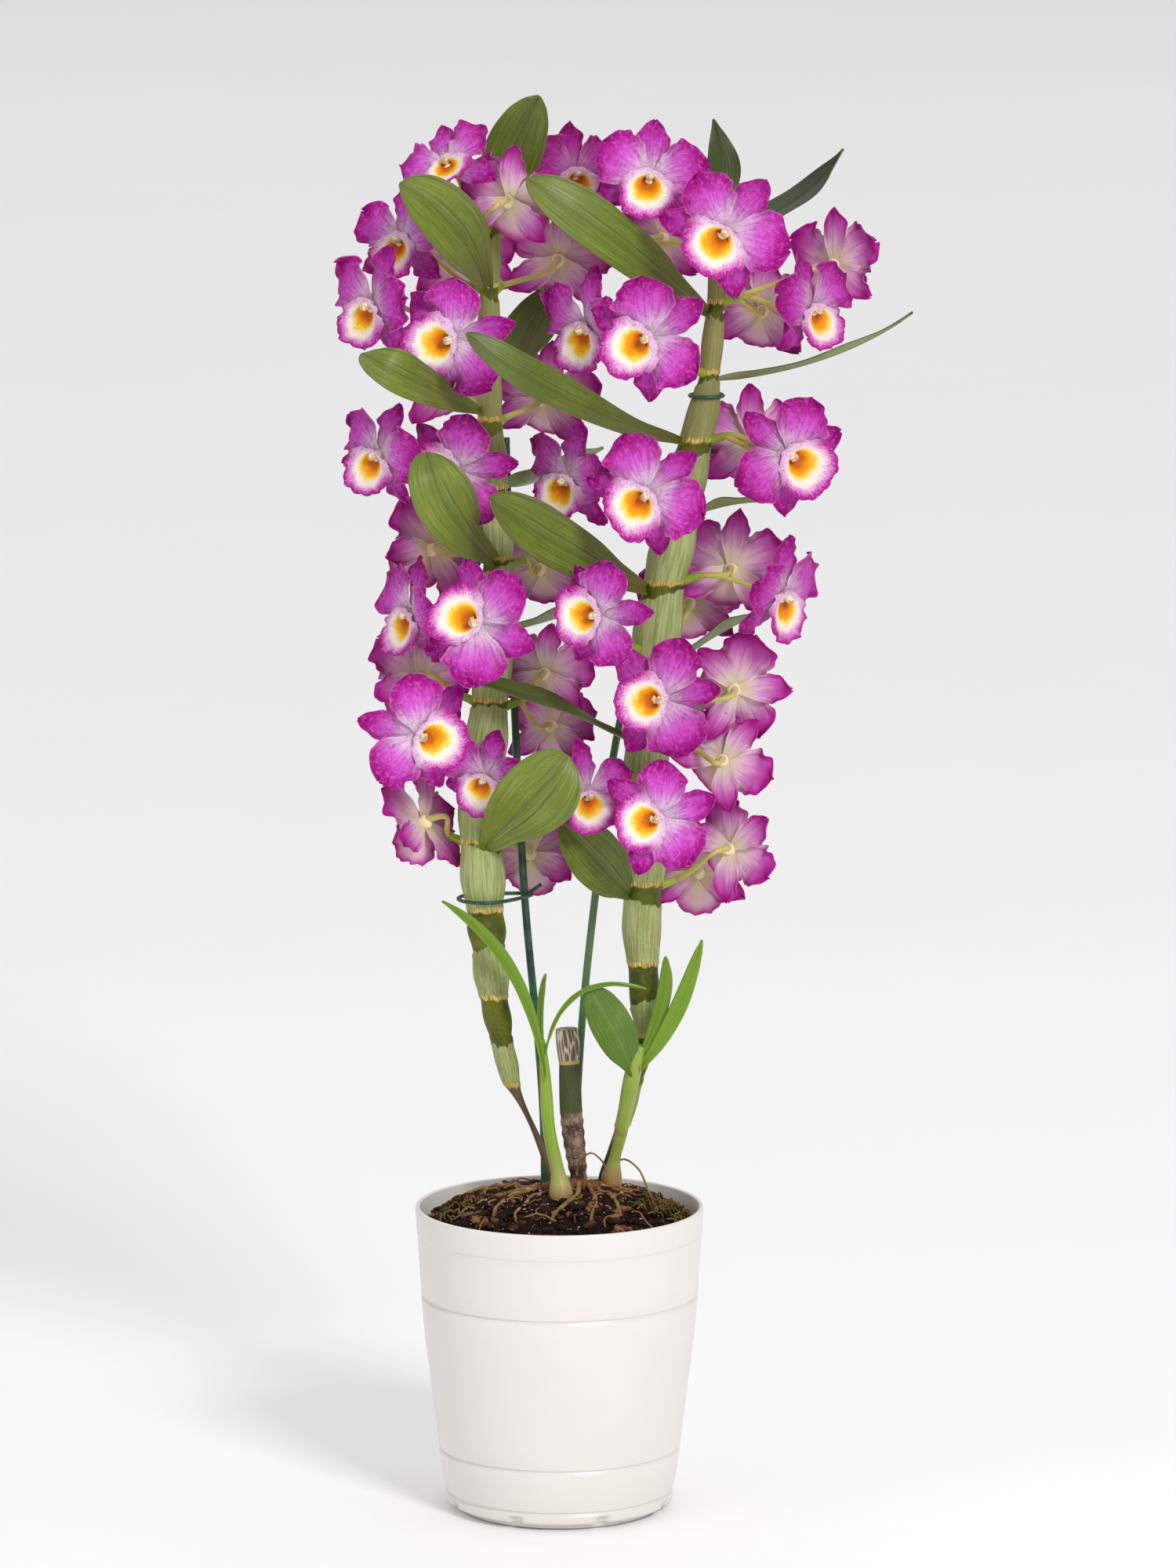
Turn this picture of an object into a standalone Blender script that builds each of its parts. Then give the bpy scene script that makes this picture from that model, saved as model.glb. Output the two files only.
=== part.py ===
"""Flowering dendrobium orchid: two tied canes with leaves and bloom sprays, standing in a round white pot.

Lengths below are in millimetres; the scene is in metres.
+Z is up, the pot's underside is z = 0, and the front of the plant looks along -Y.
"""

import math

import bmesh
import bpy
from mathutils import Matrix, Vector
from mathutils.bvhtree import BVHTree

MM = 0.001

# Pot
POT_HEIGHT = 128.2
RIM_RADIUS = 60.0
LIP_BAND_Z = 117.0
GROOVE_UPPER_Z = 91.0
GROOVE_LOWER_Z = 26.0
GROOVE_FOOT_Z = 7.5
GROOVE_DEPTH = 0.5
FOOT_RADIUS = 42.0
FLOOR_THICKNESS = 2.6
INNER_FLOOR_RADIUS = 45.0
INNER_RIM_RADIUS = 58.2
POT_STEPS = 24
DRAIN_HOLES = 5
DRAIN_RADIUS = 3.5
DRAIN_CIRCLE = 26.0
SKIRT_NOTCHES = 8
NOTCH_WIDTH = 5.0

# Potting mix
MIX_GAP = 0.35
MIX_EDGE_Z = 117.5
MIX_STATIONS = ((0.0, 134.0), (20.0, 133.0), (36.0, 129.0), (50.0, 122.5), (56.8, 117.5))

# Thicknesses of blades and stalks
LEAF_THICKNESS = 1.0
PETAL_THICKNESS = 0.9
LIP_THICKNESS = 1.0
PEDICEL_RADIUS = 1.2
SEAT_GAP = 0.3
SEAT_STEPS = 12

# Stakes and ties
STAKE_RADIUS = 1.6
TIE_RADIUS = 0.8

# Canes: centre line points with the cane's radius there, from the mix upwards
CANE_LEFT = (
    (-2.6, 12, 117, 2.0),
    (-2.7, 12, 136, 2.0),
    (-5.8, 10, 146, 2.0),
    (-17.2, 5.5, 173, 2.2),
    (-19.6, 4.6, 178, 3.6),
    (-24.0, 3, 197, 5.0),
    (-27.0, 2, 214, 6.4),
    (-29.5, 2, 236, 7.4),
    (-31.2, 2, 258, 8.6),
    (-32.6, 2, 284, 9.2),
    (-31.6, 2, 310, 9.0),
    (-28.6, 2, 342, 8.0),
    (-26.0, 2, 372, 7.4),
    (-25.0, 3, 402, 6.8),
    (-26.6, 4, 430, 6.0),
    (-28.4, 5, 456, 5.2),
    (-29.0, 6, 483, 4.6),
    (-28.4, 6, 511, 4.0),
    (-26.6, 6, 536, 3.2),
    (-25.0, 6, 556, 2.2),
)
CANE_RIGHT = (
    (18.2, 25.8, 117, 2.2),
    (18.2, 25.8, 134, 2.2),
    (22.1, 22, 146, 2.4),
    (26.3, 18, 158, 3.4),
    (30.0, 15, 172, 3.4),
    (35.0, 12, 192, 4.2),
    (36.2, 11, 198, 4.8),
    (35.6, 9, 215, 6.4),
    (34.7, 8, 230, 7.2),
    (34.1, 8, 245, 7.6),
    (34.7, 8, 260, 8.8),
    (35.2, 8, 292, 9.4),
    (36.4, 8, 323, 9.6),
    (38.5, 8, 350, 9.8),
    (42.0, 8, 382, 9.4),
    (48.0, 8, 410, 8.8),
    (54.6, 8, 443, 7.8),
    (58.5, 8, 456, 7.0),
    (61.0, 8, 468, 4.8),
    (63.6, 8, 494, 4.0),
    (65.0, 8, 515, 3.5),
    (65.0, 8, 548, 2.6),
)
NODES_LEFT = (178, 198, 216, 236, 253, 281, 310, 340, 370, 399, 428, 456, 483, 511, 536)
NODES_RIGHT = (158, 177, 198, 229, 259, 291, 323, 354, 388, 418, 447, 475, 504, 532)
NODE_PINCH = 0.9
INTERNODE_SWELL = 1.06

# Leaves: name, cane, height of the node, azimuth on the cane, bow at mid length, tip, width, facing
# An azimuth of 0 is the front, 90 the right-hand side and 180 the back.
LEAVES = (
    ("leaf_left_top", "left", 540, 180, (-3, 2, -1), (-8, 10, 590), 24, (0.2, -1, 0.1)),
    ("leaf_left_12", "left", 511, -40, (5, -8, 5), (-64, -44, 558), 25, (0.1, -1, 0.3)),
    ("leaf_left_10", "left", 470, 165, (3, 0, 2), (-2, 62, 509), 22, (0.4, 0.6, 0.8)),
    ("leaf_left_9", "left", 460, -60, (-1, -30, 4), (-79, -60, 491), 19, (0.2, -1, 0.5)),
    ("leaf_left_8", "left", 428, 140, (4, 2, 0), (18, 50, 440), 19, (-0.3, 0.5, 0.8)),
    ("leaf_left_6", "left", 399, -20, (-4, -28, 3), (-53, -62, 451), 26, (0.2, -1, 0.3)),
    ("leaf_left_5", "left", 370, 100, (3, 4, 0), (10, 56, 372), 21, (-0.2, 0.5, 0.8)),
    ("leaf_left_2", "left", 281, 15, (2, -13, 3), (4, -34, 323), 32, (0.35, -1, 0.2)),
    ("leaf_right_top", "right", 545, 60, (3, 1, 0), (66, 8, 580), 13, (0.4, -1, 0.1)),
    ("leaf_right_14", "right", 532, 130, (4, 6, -2), (117, 32, 566), 19, (-0.55, -0.35, 0.65)),
    ("leaf_right_13", "right", 500, -75, (-2, -14, 5), (-13, -30, 559), 23, (0.2, -1, 0.5)),
    ("leaf_right_12", "right", 473, 80, (4, 5, -5), (145, -2, 502), 18, (-0.2, 0.25, 1)),
    ("leaf_right_11", "right", 447, -60, (-3, -22, -1), (-37, -66, 500), 18, (0.2, -1, 0.8)),
    ("leaf_right_10", "right", 418, 75, (0, 0, 2), (88, -2, 424), 17, (0, 0.2, 1)),
    ("leaf_right_9", "right", 386, -65, (-4, -3, 1), (-28, -56, 432), 24, (0.1, -1, 0.5)),
    ("leaf_right_8", "right", 354, 115, (2, 2, 3), (80, 20, 373), 19, (-0.2, 0.3, 1)),
    ("leaf_right_7", "right", 323, -75, (0, -6, 5), (-40, -22, 353), 15, (0.2, -0.35, 1)),
    ("leaf_right_7b", "right", 318, 165, (2, 3, 3), (58, 62, 330), 19, (0, 0.3, 1)),
    ("leaf_right_5", "right", 259, -50, (2, -3, -1), (1, -14, 292), 24, (0.3, -1, 0.3)),
)

# Sprays: name, cane, height and azimuth of the stalk's foot, then the blooms as
# x, y, z of the centre, azimuth, elevation, roll and size factor
SPRAYS = (
    ("spray_left_1", "left", 281, -110, ((-56, 3, 290, -125, -20, 20, 0.95),)),
    ("spray_left_2", "left", 279, 165, ((-12, 28, 272, 170, -25, 0, 0.85),)),
    ("spray_left_3", "left", 308, -45, ((-57, -34, 332, 15, -5, 75, 1.0), (-30, -19, 312, -25, -15, -20, 0.8))),
    ("spray_left_4", "left", 340, -110, ((-57, 2, 350, -150, -15, 20, 0.95),)),
    ("spray_left_5", "left", 338, 100, ((-6, 6, 352, 165, 5, 10, 0.85), (-3, 30, 326, 150, -10, 0, 0.85))),
    ("spray_left_6", "left", 368, -40, ((-60, -22, 380, -60, 0, -10, 0.95), (-33, -44, 380, -18, 0, -115, 1.0))),
    ("spray_left_7", "left", 399, -110, ((-52, 2, 404, -150, 0, 30, 0.95),)),
    ("spray_left_8", "left", 397, 110, ((-8, 18, 394, 165, 5, -10, 0.9),)),
    ("spray_left_9", "left", 427, -40, ((-73, -26, 446, -42, 0, -20, 0.9), (-42, -27, 440, -14, 0, -80, 0.95))),
    ("spray_left_10", "left", 454, 150, ((-6, 40, 462, 160, 5, 10, 0.95), (-46, 42, 470, -160, 5, -10, 0.95))),
    ("spray_left_11", "left", 482, -40, ((-75, -24, 507, -50, 0, -15, 1.0), (-43, -32, 494, -20, 0, -76, 1.0))),
    ("spray_left_12", "left", 510, -110, ((-64, -8, 532, -35, 10, 0, 0.9),)),
    ("spray_left_13", "left", 509, 150, ((-40, 40, 522, -165, 10, 0, 0.95), (0, 40, 520, 165, 10, 10, 0.95))),
    ("spray_left_14", "left", 535, -60, ((-45, -9, 563, -30, 34, 30, 0.85), (-20, -14, 549, 155, 0, 10, 0.9))),
    ("spray_left_15", "left", 533, 120, ((6, 25, 556, 25, 10, 0, 0.85),)),
    ("spray_right_1", "right", 262, 100, ((71, 0, 279, 150, -10, 50, 0.85), (58, 28, 264, 185, -30, 0, 0.85))),
    ("spray_right_2", "right", 289, -30, ((40, -30, 297, 2, 0, -77, 0.95), (11, -20, 305, 25, 0, 0, 0.85))),
    ("spray_right_3", "right", 318, 95, ((68, 2, 316, 165, -5, 45, 0.85),)),
    ("spray_right_4", "right", 338, 30, ((41, -28, 346, 4, 0, -86, 1.0), (73, 4, 345, 170, 0, 85, 0.9))),
    ("spray_right_5", "right", 362, -50, ((16, -44, 383, -30, 0, -85, 0.9),)),
    ("spray_right_6", "right", 362, 150, ((54, 42, 376, 180, 0, 0, 0.9),)),
    ("spray_right_7", "right", 390, 80, ((91, -8, 386, 52, -15, 0, 0.95), (71, 16, 394, 175, 0, 10, 0.95))),
    ("spray_right_8", "right", 416, -45, ((36, -36, 431, -10, 0, -45, 1.0), (4, -8, 434, -42, -5, -15, 0.95))),
    ("spray_right_9", "right", 448, 85, ((94, -18, 445, 20, 0, 50, 1.0), (80, 15, 446, 180, 0, 0, 0.95))),
    ("spray_right_10", "right", 476, -45, ((36, -36, 495, -12, 0, -58, 1.0), (12, -14, 497, -48, -10, -10, 1.0))),
    ("spray_right_11", "right", 505, 90, ((103, -10, 504, 48, 0, 10, 0.9), (113, 18, 520, 145, 0, 0, 0.9), (84, 26, 500, 175, 0, 10, 0.9))),
    ("spray_right_12", "right", 528, -20, ((37, -12, 558, 0, 10, -10, 0.95), (67, -36, 538, 5, 0, -42, 1.05), (43, 17, 531, 150, 0, 0, 0.85))),
)

# Leaf outline: share of the length, share of the half width
LEAF_OUTLINE = ((0.0, 0.14), (0.12, 0.42), (0.3, 0.82), (0.52, 1.0), (0.75, 0.9), (0.9, 0.6), (1.0, 0.0))

SEPAL_LENGTH = 26.0
SEPAL_WIDTH = 13.5
PETAL_LENGTH = 26.0
PETAL_WIDTH = 24.0
HUB_RADIUS = 2.3
LIP_RADIUS = 11.3
LIP_DROP = -6.5
LIP_POINTS = 8
SEPAL_ANGLES = (90, 215, 325)
PETAL_ANGLES = (24, 156)

COLOURS = {
    "pot_plastic": ((0.90, 0.88, 0.85), 0.35),
    "mix_bark": ((0.045, 0.02, 0.014), 0.95),
    "root_skin": ((0.42, 0.32, 0.17), 0.7),
    "cane_green": ((0.25, 0.30, 0.10), 0.5),
    "old_cane": ((0.22, 0.20, 0.10), 0.7),
    "shoot_green": ((0.22, 0.42, 0.07), 0.45),
    "leaf_green": ((0.10, 0.19, 0.045), 0.45),
    "bloom_magenta": ((0.62, 0.07, 0.50), 0.5),
    "stake_green": ((0.02, 0.08, 0.05), 0.45),
}


def clear_scene():
    for obj in list(bpy.data.objects):
        bpy.data.objects.remove(obj, do_unlink=True)


def make_collection(name, hidden=False):
    found = bpy.data.collections.new(name)
    bpy.context.scene.collection.children.link(found)
    found.hide_render = hidden
    return found


def material(slot):
    found = bpy.data.materials.get(slot)
    if found:
        return found
    colour, roughness = COLOURS[slot]
    found = bpy.data.materials.new(slot)
    found.use_nodes = True
    shader = found.node_tree.nodes["Principled BSDF"]
    shader.inputs["Base Color"].default_value = (*colour, 1.0)
    shader.inputs["Roughness"].default_value = roughness
    shader.inputs["Metallic"].default_value = 0.0
    return found


def add_object(name, mesh, group):
    obj = bpy.data.objects.new(name, mesh)
    group.objects.link(obj)
    return obj


def bake(obj, weld=True):
    """Makes the object's modifiers and curve real, as one mesh in place."""
    bpy.context.view_layer.update()
    graph = bpy.context.evaluated_depsgraph_get()
    evaluated = obj.evaluated_get(graph)
    mesh = bpy.data.meshes.new_from_object(evaluated)
    mesh.transform(evaluated.matrix_world)
    group = obj.users_collection[0]
    name = obj.name
    bpy.data.objects.remove(obj, do_unlink=True)
    shape = bmesh.new()
    shape.from_mesh(mesh)
    if weld:
        bmesh.ops.remove_doubles(shape, verts=shape.verts, dist=1e-6)
        bmesh.ops.recalc_face_normals(shape, faces=shape.faces)
    shape.to_mesh(mesh)
    shape.free()
    return add_object(name, mesh, group)


def finish(obj, slot, group, smooth=True):
    """Gives the object its material and shading and moves it to the object's collection."""
    obj.data.materials.clear()
    obj.data.materials.append(material(slot))
    obj.data.shade_smooth() if smooth else obj.data.shade_flat()
    for old in list(obj.users_collection):
        old.objects.unlink(obj)
    group.objects.link(obj)
    return obj


def boolean(obj, operation, group):
    cut = obj.modifiers.new(operation.lower(), "BOOLEAN")
    cut.operation = operation
    cut.solver = "MANIFOLD"
    cut.operand_type = "COLLECTION"
    cut.collection = group
    return bake(obj, weld=False)


def union(name, pieces, work):
    """Joins the pieces to one body; the helpers are removed."""
    first = pieces[0]
    first.name = name
    helpers = bpy.data.collections.new(name + "_joined")
    bpy.context.scene.collection.children.link(helpers)
    for piece in pieces[1:]:
        work.objects.unlink(piece)
        helpers.objects.link(piece)
    joined = boolean(first, "UNION", helpers)
    for piece in list(helpers.objects):
        bpy.data.objects.remove(piece, do_unlink=True)
    bpy.data.collections.remove(helpers)
    return joined


def tube(name, points, radii, work, resolution=1):
    """A round stalk along the points, with a radius for each, closed at both ends."""
    curve = bpy.data.curves.new(name, "CURVE")
    curve.dimensions = "3D"
    curve.bevel_depth = MM
    curve.bevel_resolution = resolution
    curve.use_fill_caps = True
    line = curve.splines.new("POLY")
    line.points.add(len(points) - 1)
    for spot, point, radius in zip(line.points, points, radii):
        spot.co = (point[0] * MM, point[1] * MM, point[2] * MM, 1.0)
        spot.radius = radius
    return bake(add_object(name, curve, work))


def turned(name, profile, steps, work):
    """A body turned round the Z axis; the profile runs top to bottom on its outer side."""
    mesh = bpy.data.meshes.new(name)
    points = [(x * MM, 0.0, z * MM) for x, z in profile]
    mesh.from_pydata(points, [(i, i + 1) for i in range(len(points) - 1)], [])
    obj = add_object(name, mesh, work)
    screw = obj.modifiers.new("turn", "SCREW")
    screw.steps = steps
    screw.render_steps = steps
    screw.use_merge_vertices = True
    screw.merge_threshold = 0.00005
    return bake(obj)


def share(outline, t):
    """The outline's half width at the share t of its length."""
    for (t0, w0), (t1, w1) in zip(outline, outline[1:]):
        if t <= t1:
            return w0 + (w1 - w0) * (t - t0) / (t1 - t0)
    return 0.0


def blade(name, stations, columns, place, thickness, work):
    """A thin closed blade: a grid laid out by place(s, t), then thickened."""
    shape = bmesh.new()
    rows = len(stations) - 1
    bmesh.ops.create_grid(shape, x_segments=columns, y_segments=rows, size=1.0)
    for vertex in shape.verts:
        row = round((vertex.co.y + 1.0) * 0.5 * rows)
        vertex.co = place(vertex.co.x, stations[row]) * MM
    bmesh.ops.remove_doubles(shape, verts=shape.verts, dist=1e-5)
    bmesh.ops.triangulate(shape, faces=shape.faces)
    mesh = bpy.data.meshes.new(name)
    shape.to_mesh(mesh)
    shape.free()
    obj = add_object(name, mesh, work)
    solid = obj.modifiers.new("thickness", "SOLIDIFY")
    solid.thickness = thickness * MM
    solid.offset = 0.0
    return bake(obj)


def cylinder(name, centre, radius, height, sides, work):
    shape = bmesh.new()
    place = Matrix.Translation(Vector(centre) * MM)
    bmesh.ops.create_cone(
        shape,
        cap_ends=True,
        segments=sides,
        radius1=radius * MM,
        radius2=radius * MM,
        depth=height * MM,
        matrix=place,
    )
    mesh = bpy.data.meshes.new(name)
    shape.to_mesh(mesh)
    shape.free()
    return add_object(name, mesh, work)


def box(name, centre, size, angle, work):
    shape = bmesh.new()
    turn = Matrix.Rotation(angle, 4, "Z")
    scale = Matrix.Diagonal((size[0] * MM, size[1] * MM, size[2] * MM, 1.0))
    place = turn @ Matrix.Translation(Vector(centre) * MM) @ scale
    bmesh.ops.create_cube(shape, size=1.0, matrix=place)
    mesh = bpy.data.meshes.new(name)
    shape.to_mesh(mesh)
    shape.free()
    return add_object(name, mesh, work)


def groove(z, radius):
    """Three profile points of a shallow turned groove."""
    return ((radius, z + 0.7), (radius - GROOVE_DEPTH, z), (radius, z - 0.7))


def build_pot(group, work, cutters):
    profile = [
        (0.0, FLOOR_THICKNESS),
        (INNER_FLOOR_RADIUS, FLOOR_THICKNESS),
        (INNER_RIM_RADIUS, POT_HEIGHT - 1.0),
        (59.2, POT_HEIGHT),
        (RIM_RADIUS, POT_HEIGHT - 0.8),
        (59.6, LIP_BAND_Z + 0.5),
        (59.2, LIP_BAND_Z - 0.3),
        *groove(GROOVE_UPPER_Z, 57.8),
        (54.4, 58.0),
        *groove(GROOVE_LOWER_Z, 50.6),
        *groove(GROOVE_FOOT_Z, 47.7),
        (47.0, 4.6),
        (43.4, 2.0),
        (FOOT_RADIUS, 0.0),
        (0.0, 0.0),
    ]
    pot = turned("pot", profile, POT_STEPS, work)
    for index in range(DRAIN_HOLES):
        angle = math.tau * (index + 0.5) / DRAIN_HOLES
        spot = (DRAIN_CIRCLE * math.cos(angle), DRAIN_CIRCLE * math.sin(angle), 1.3)
        cylinder(f"drain_{index}", spot, DRAIN_RADIUS, 8.0, 6, cutters)
    for index in range(SKIRT_NOTCHES):
        angle = math.tau * (index + 0.5) / SKIRT_NOTCHES
        box(f"notch_{index}", (48.2, 0.0, 3.2), (5.0, NOTCH_WIDTH, 4.6), angle, cutters)
    pot = boolean(pot, "DIFFERENCE", cutters)
    return finish(pot, "pot_plastic", group)


def inner_radius(z):
    """The inside of the pot wall at height z."""
    low = FLOOR_THICKNESS
    high = POT_HEIGHT - 1.0
    part = (z - low) / (high - low)
    return INNER_FLOOR_RADIUS + (INNER_RIM_RADIUS - INNER_FLOOR_RADIUS) * part


def mix_height(radius):
    """The height of the mounded mix at this distance from the pot's axis."""
    for (r0, z0), (r1, z1) in zip(MIX_STATIONS, MIX_STATIONS[1:]):
        if radius <= r1:
            return z0 + (z1 - z0) * (radius - r0) / (r1 - r0)
    return MIX_EDGE_Z


def build_mix(group, work, holes):
    bottom = FLOOR_THICKNESS + MIX_GAP
    profile = [
        *MIX_STATIONS[:-1],
        (inner_radius(MIX_EDGE_Z) - MIX_GAP, MIX_EDGE_Z),
        (inner_radius(bottom) - MIX_GAP - 0.1, bottom),
        (0.0, bottom),
    ]
    mix = turned("potting_mix", profile, POT_STEPS, work)
    mix = boolean(mix, "DIFFERENCE", holes)
    return finish(mix, "mix_bark", group)


def build_holes(holes):
    """Plain holes in the mix, one for each stem and stake that stands in it."""
    for name, x, y, radius, depth in (
        ("hole_cane_left", -2.6, 12.0, 2.5, 18.0),
        ("hole_cane_right", 18.2, 25.8, 2.8, 18.0),
        ("hole_old_cane", 8.0, 13.0, 3.6, 18.0),
        ("hole_shoot_front", 0.5, -9.0, 5.4, 8.0),
        ("hole_shoot_right", 21.7, 12.0, 3.1, 10.0),
        ("hole_stake_left", -6.8, 21.0, 2.1, 70.0),
        ("hole_stake_right", 6.3, 28.0, 2.1, 70.0),
    ):
        top = 140.0
        low = mix_height(math.hypot(x, y)) - depth
        cylinder(name, (x, y, (top + low) / 2), radius, top - low, 8, holes)


def line_at(points, z):
    """Centre and radius of a cane at height z."""
    for low, high in zip(points, points[1:]):
        if z <= high[2]:
            part = (z - low[2]) / (high[2] - low[2])
            return [a + (b - a) * part for a, b in zip(low, high)]
    return list(points[-1])


def cane_rings(points, nodes):
    """Centre line with a pinch at each node and a swelling between nodes."""
    rings = [tuple(point) for point in points if point[2] < nodes[0]]
    for low, high in zip(nodes, nodes[1:]):
        x, y, z, radius = line_at(points, low)
        rings.append((x, y, z, radius * NODE_PINCH))
        x, y, z, radius = line_at(points, low + (high - low) * 0.45)
        rings.append((x, y, z, radius * INTERNODE_SWELL))
    x, y, z, radius = line_at(points, nodes[-1])
    rings.append((x, y, z, radius * NODE_PINCH))
    rings.append(tuple(points[-1]))
    return rings


def build_cane(name, points, nodes, group, work):
    rings = cane_rings(points, nodes)
    cane = tube(name, [ring[:3] for ring in rings], [ring[3] for ring in rings], work, 2)
    return finish(cane, "cane_green", group)


def side(azimuth):
    """The level direction of an azimuth, 0 at the front and 90 to the right."""
    angle = math.radians(azimuth)
    return Vector((math.sin(angle), -math.cos(angle), 0.0))


CANES = {"left": (CANE_LEFT, NODES_LEFT), "right": (CANE_RIGHT, NODES_RIGHT)}


def on_cane(cane, z, azimuth, clear):
    """A point off the cane's surface at height z."""
    x, y, _, radius = line_at(CANES[cane][0], z)
    return Vector((x, y, z)) + side(azimuth) * (radius * INTERNODE_SWELL + clear)


def bend(start, middle, end, t):
    """A curve that starts at start, passes middle half way and ends at end."""
    control = middle * 2.0 - (start + end) * 0.5
    return start * (1 - t) ** 2 + control * (2 * t * (1 - t)) + end * t**2


def surface_of(obj):
    """The object's surface, for measuring gaps to it."""
    mesh = obj.data
    return BVHTree.FromPolygons([vertex.co for vertex in mesh.vertices], [face.vertices for face in mesh.polygons])


def gap_to(surface, obj):
    """The smallest gap in millimetres between the object's edges and a surface."""
    mesh = obj.data
    least = math.inf
    for edge in mesh.edges:
        low, high = (mesh.vertices[index].co for index in edge.vertices)
        steps = max(2, round((high - low).length / MM))
        for step in range(steps + 1):
            least = min(least, surface.find_nearest(low.lerp(high, step / steps))[3])
    return least / MM


def seat(cane, z, azimuth, surface, make):
    """The foot at which what make(foot) builds stands the seat gap off the cane."""
    clear = 3.0
    for _ in range(SEAT_STEPS):
        trial = make(on_cane(cane, z, azimuth, clear))
        spare = gap_to(surface, trial) - SEAT_GAP
        bpy.data.objects.remove(trial, do_unlink=True)
        clear -= max(spare, 0.0) * 0.95
    return on_cane(cane, z, azimuth, clear)


def leaf_place(start, middle, end, width, facing, fold=0.10):
    """Lays a leaf blade along a curve, with its upper face turned to facing."""
    facing = Vector(facing).normalized()

    def place(s, t):
        point = bend(start, middle, end, t)
        ahead = bend(start, middle, end, t + 0.02) - bend(start, middle, end, t - 0.02)
        across = ahead.cross(facing).normalized()
        normal = across.cross(ahead).normalized()
        half = width * 0.5 * share(LEAF_OUTLINE, t)
        return point + across * (s * half) + normal * (abs(s) * half * 2 * fold)

    return place


def build_leaf(row, surfaces, group, work):
    name, cane, z, azimuth, bow, tip, width, facing = row
    end = Vector(tip)

    def make(start):
        middle = (start + end) * 0.5 + Vector(bow)
        place = leaf_place(start, middle, end, width, facing)
        return blade(name, (0.0, 0.16, 0.38, 0.62, 0.85, 1.0), 2, place, LEAF_THICKNESS, work)

    leaf = make(seat(cane, z, azimuth, surfaces[cane], make))
    return finish(leaf, "leaf_green", group)


def bloom_frame(azimuth, elevation, roll):
    """Right, up and forward directions of a bloom."""
    level = side(azimuth)
    lift = math.radians(elevation)
    forward = level * math.cos(lift) + Vector((0, 0, math.sin(lift)))
    up = Vector((0, 0, 1.0)) - forward * forward.z
    up.normalize()
    turn = Matrix.Rotation(math.radians(roll), 3, forward)
    up = turn @ up
    return up.cross(forward), up, forward


def whorl(name, frame, rim, splits, apex, thickness, work):
    """A thin body from a capped disc whose rim is moved to these places in the bloom's frame.

    Splits join rim points across the disc, and an apex draws the disc to a funnel.
    """
    centre, right, up, forward = frame
    shape = bmesh.new()
    bmesh.ops.create_circle(shape, cap_ends=True, cap_tris=apex is not None, segments=len(rim), radius=1.0)
    edge = [vertex for vertex in shape.verts if vertex.co.length > 0.5]
    edge.sort(key=lambda vertex: math.atan2(vertex.co.y, vertex.co.x))
    for first, second in splits:
        bmesh.ops.connect_verts(shape, verts=[edge[first], edge[second]])
    spots = dict(zip(edge, rim))
    for vertex in shape.verts:
        spot = spots.get(vertex, apex)
        vertex.co = (centre + right * spot[0] + up * spot[1] + forward * spot[2]) * MM
    bmesh.ops.triangulate(shape, faces=shape.faces)
    mesh = bpy.data.meshes.new(name)
    shape.to_mesh(mesh)
    shape.free()
    obj = add_object(name, mesh, work)
    solid = obj.modifiers.new("thickness", "SOLIDIFY")
    solid.thickness = thickness * MM
    solid.offset = 0.0
    return bake(obj)


def tepal_rim(angle, length, width, stations, tip_height):
    """Rim of one sepal or petal; a station is its share of length and of half width, and its height."""
    turn = math.radians(angle)
    out = (math.cos(turn), math.sin(turn))
    across = (-out[1], out[0])
    rim = []
    for sign, row in ((-1, stations), (1, stations[::-1])):
        for reach, half, height in row:
            r = reach * length
            w = sign * half * width * 0.5
            rim.append((out[0] * r + across[0] * w, out[1] * r + across[1] * w, height))
        if sign < 0:
            rim.append((out[0] * length, out[1] * length, tip_height))
    return rim


def valley(angle, radius, height):
    turn = math.radians(angle)
    return (radius * math.cos(turn), radius * math.sin(turn), height)


def sepal_rim(size):
    """Outer layer: three pointed sepals."""
    rim = []
    for angle, next_angle in zip(SEPAL_ANGLES, (215, 325, 450)):
        rim += tepal_rim(angle, SEPAL_LENGTH * size, SEPAL_WIDTH * size, ((0.52, 1.0, -1.4),), -3.4 * size)
        rim.append(valley((angle + next_angle) / 2, 5.0 * size, -1.5))
    return rim


def petal_rim(size):
    """Inner layer: two broad petals."""
    rim = []
    stations = ((0.45, 0.92, 3.2 * size), (0.84, 0.78, 2.4 * size))
    for angle, next_angle in zip(PETAL_ANGLES, (156, 384)):
        rim += tepal_rim(angle, PETAL_LENGTH * size, PETAL_WIDTH * size, stations, 1.6 * size)
        rim.append(valley((angle + next_angle) / 2, 3.6 * size, 1.2))
    return rim


def lip_rim(size):
    """Ruffled mouth of the lip, a shallow funnel below the column."""
    rim = []
    for index in range(LIP_POINTS):
        angle = math.tau * index / LIP_POINTS - math.pi
        x = LIP_RADIUS * math.cos(angle)
        y = LIP_DROP + LIP_RADIUS * math.sin(angle)
        rim.append((x * size, y * size, (7.0 - 0.10 * y + 0.8 * (-1) ** index) * size))
    return rim


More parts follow.
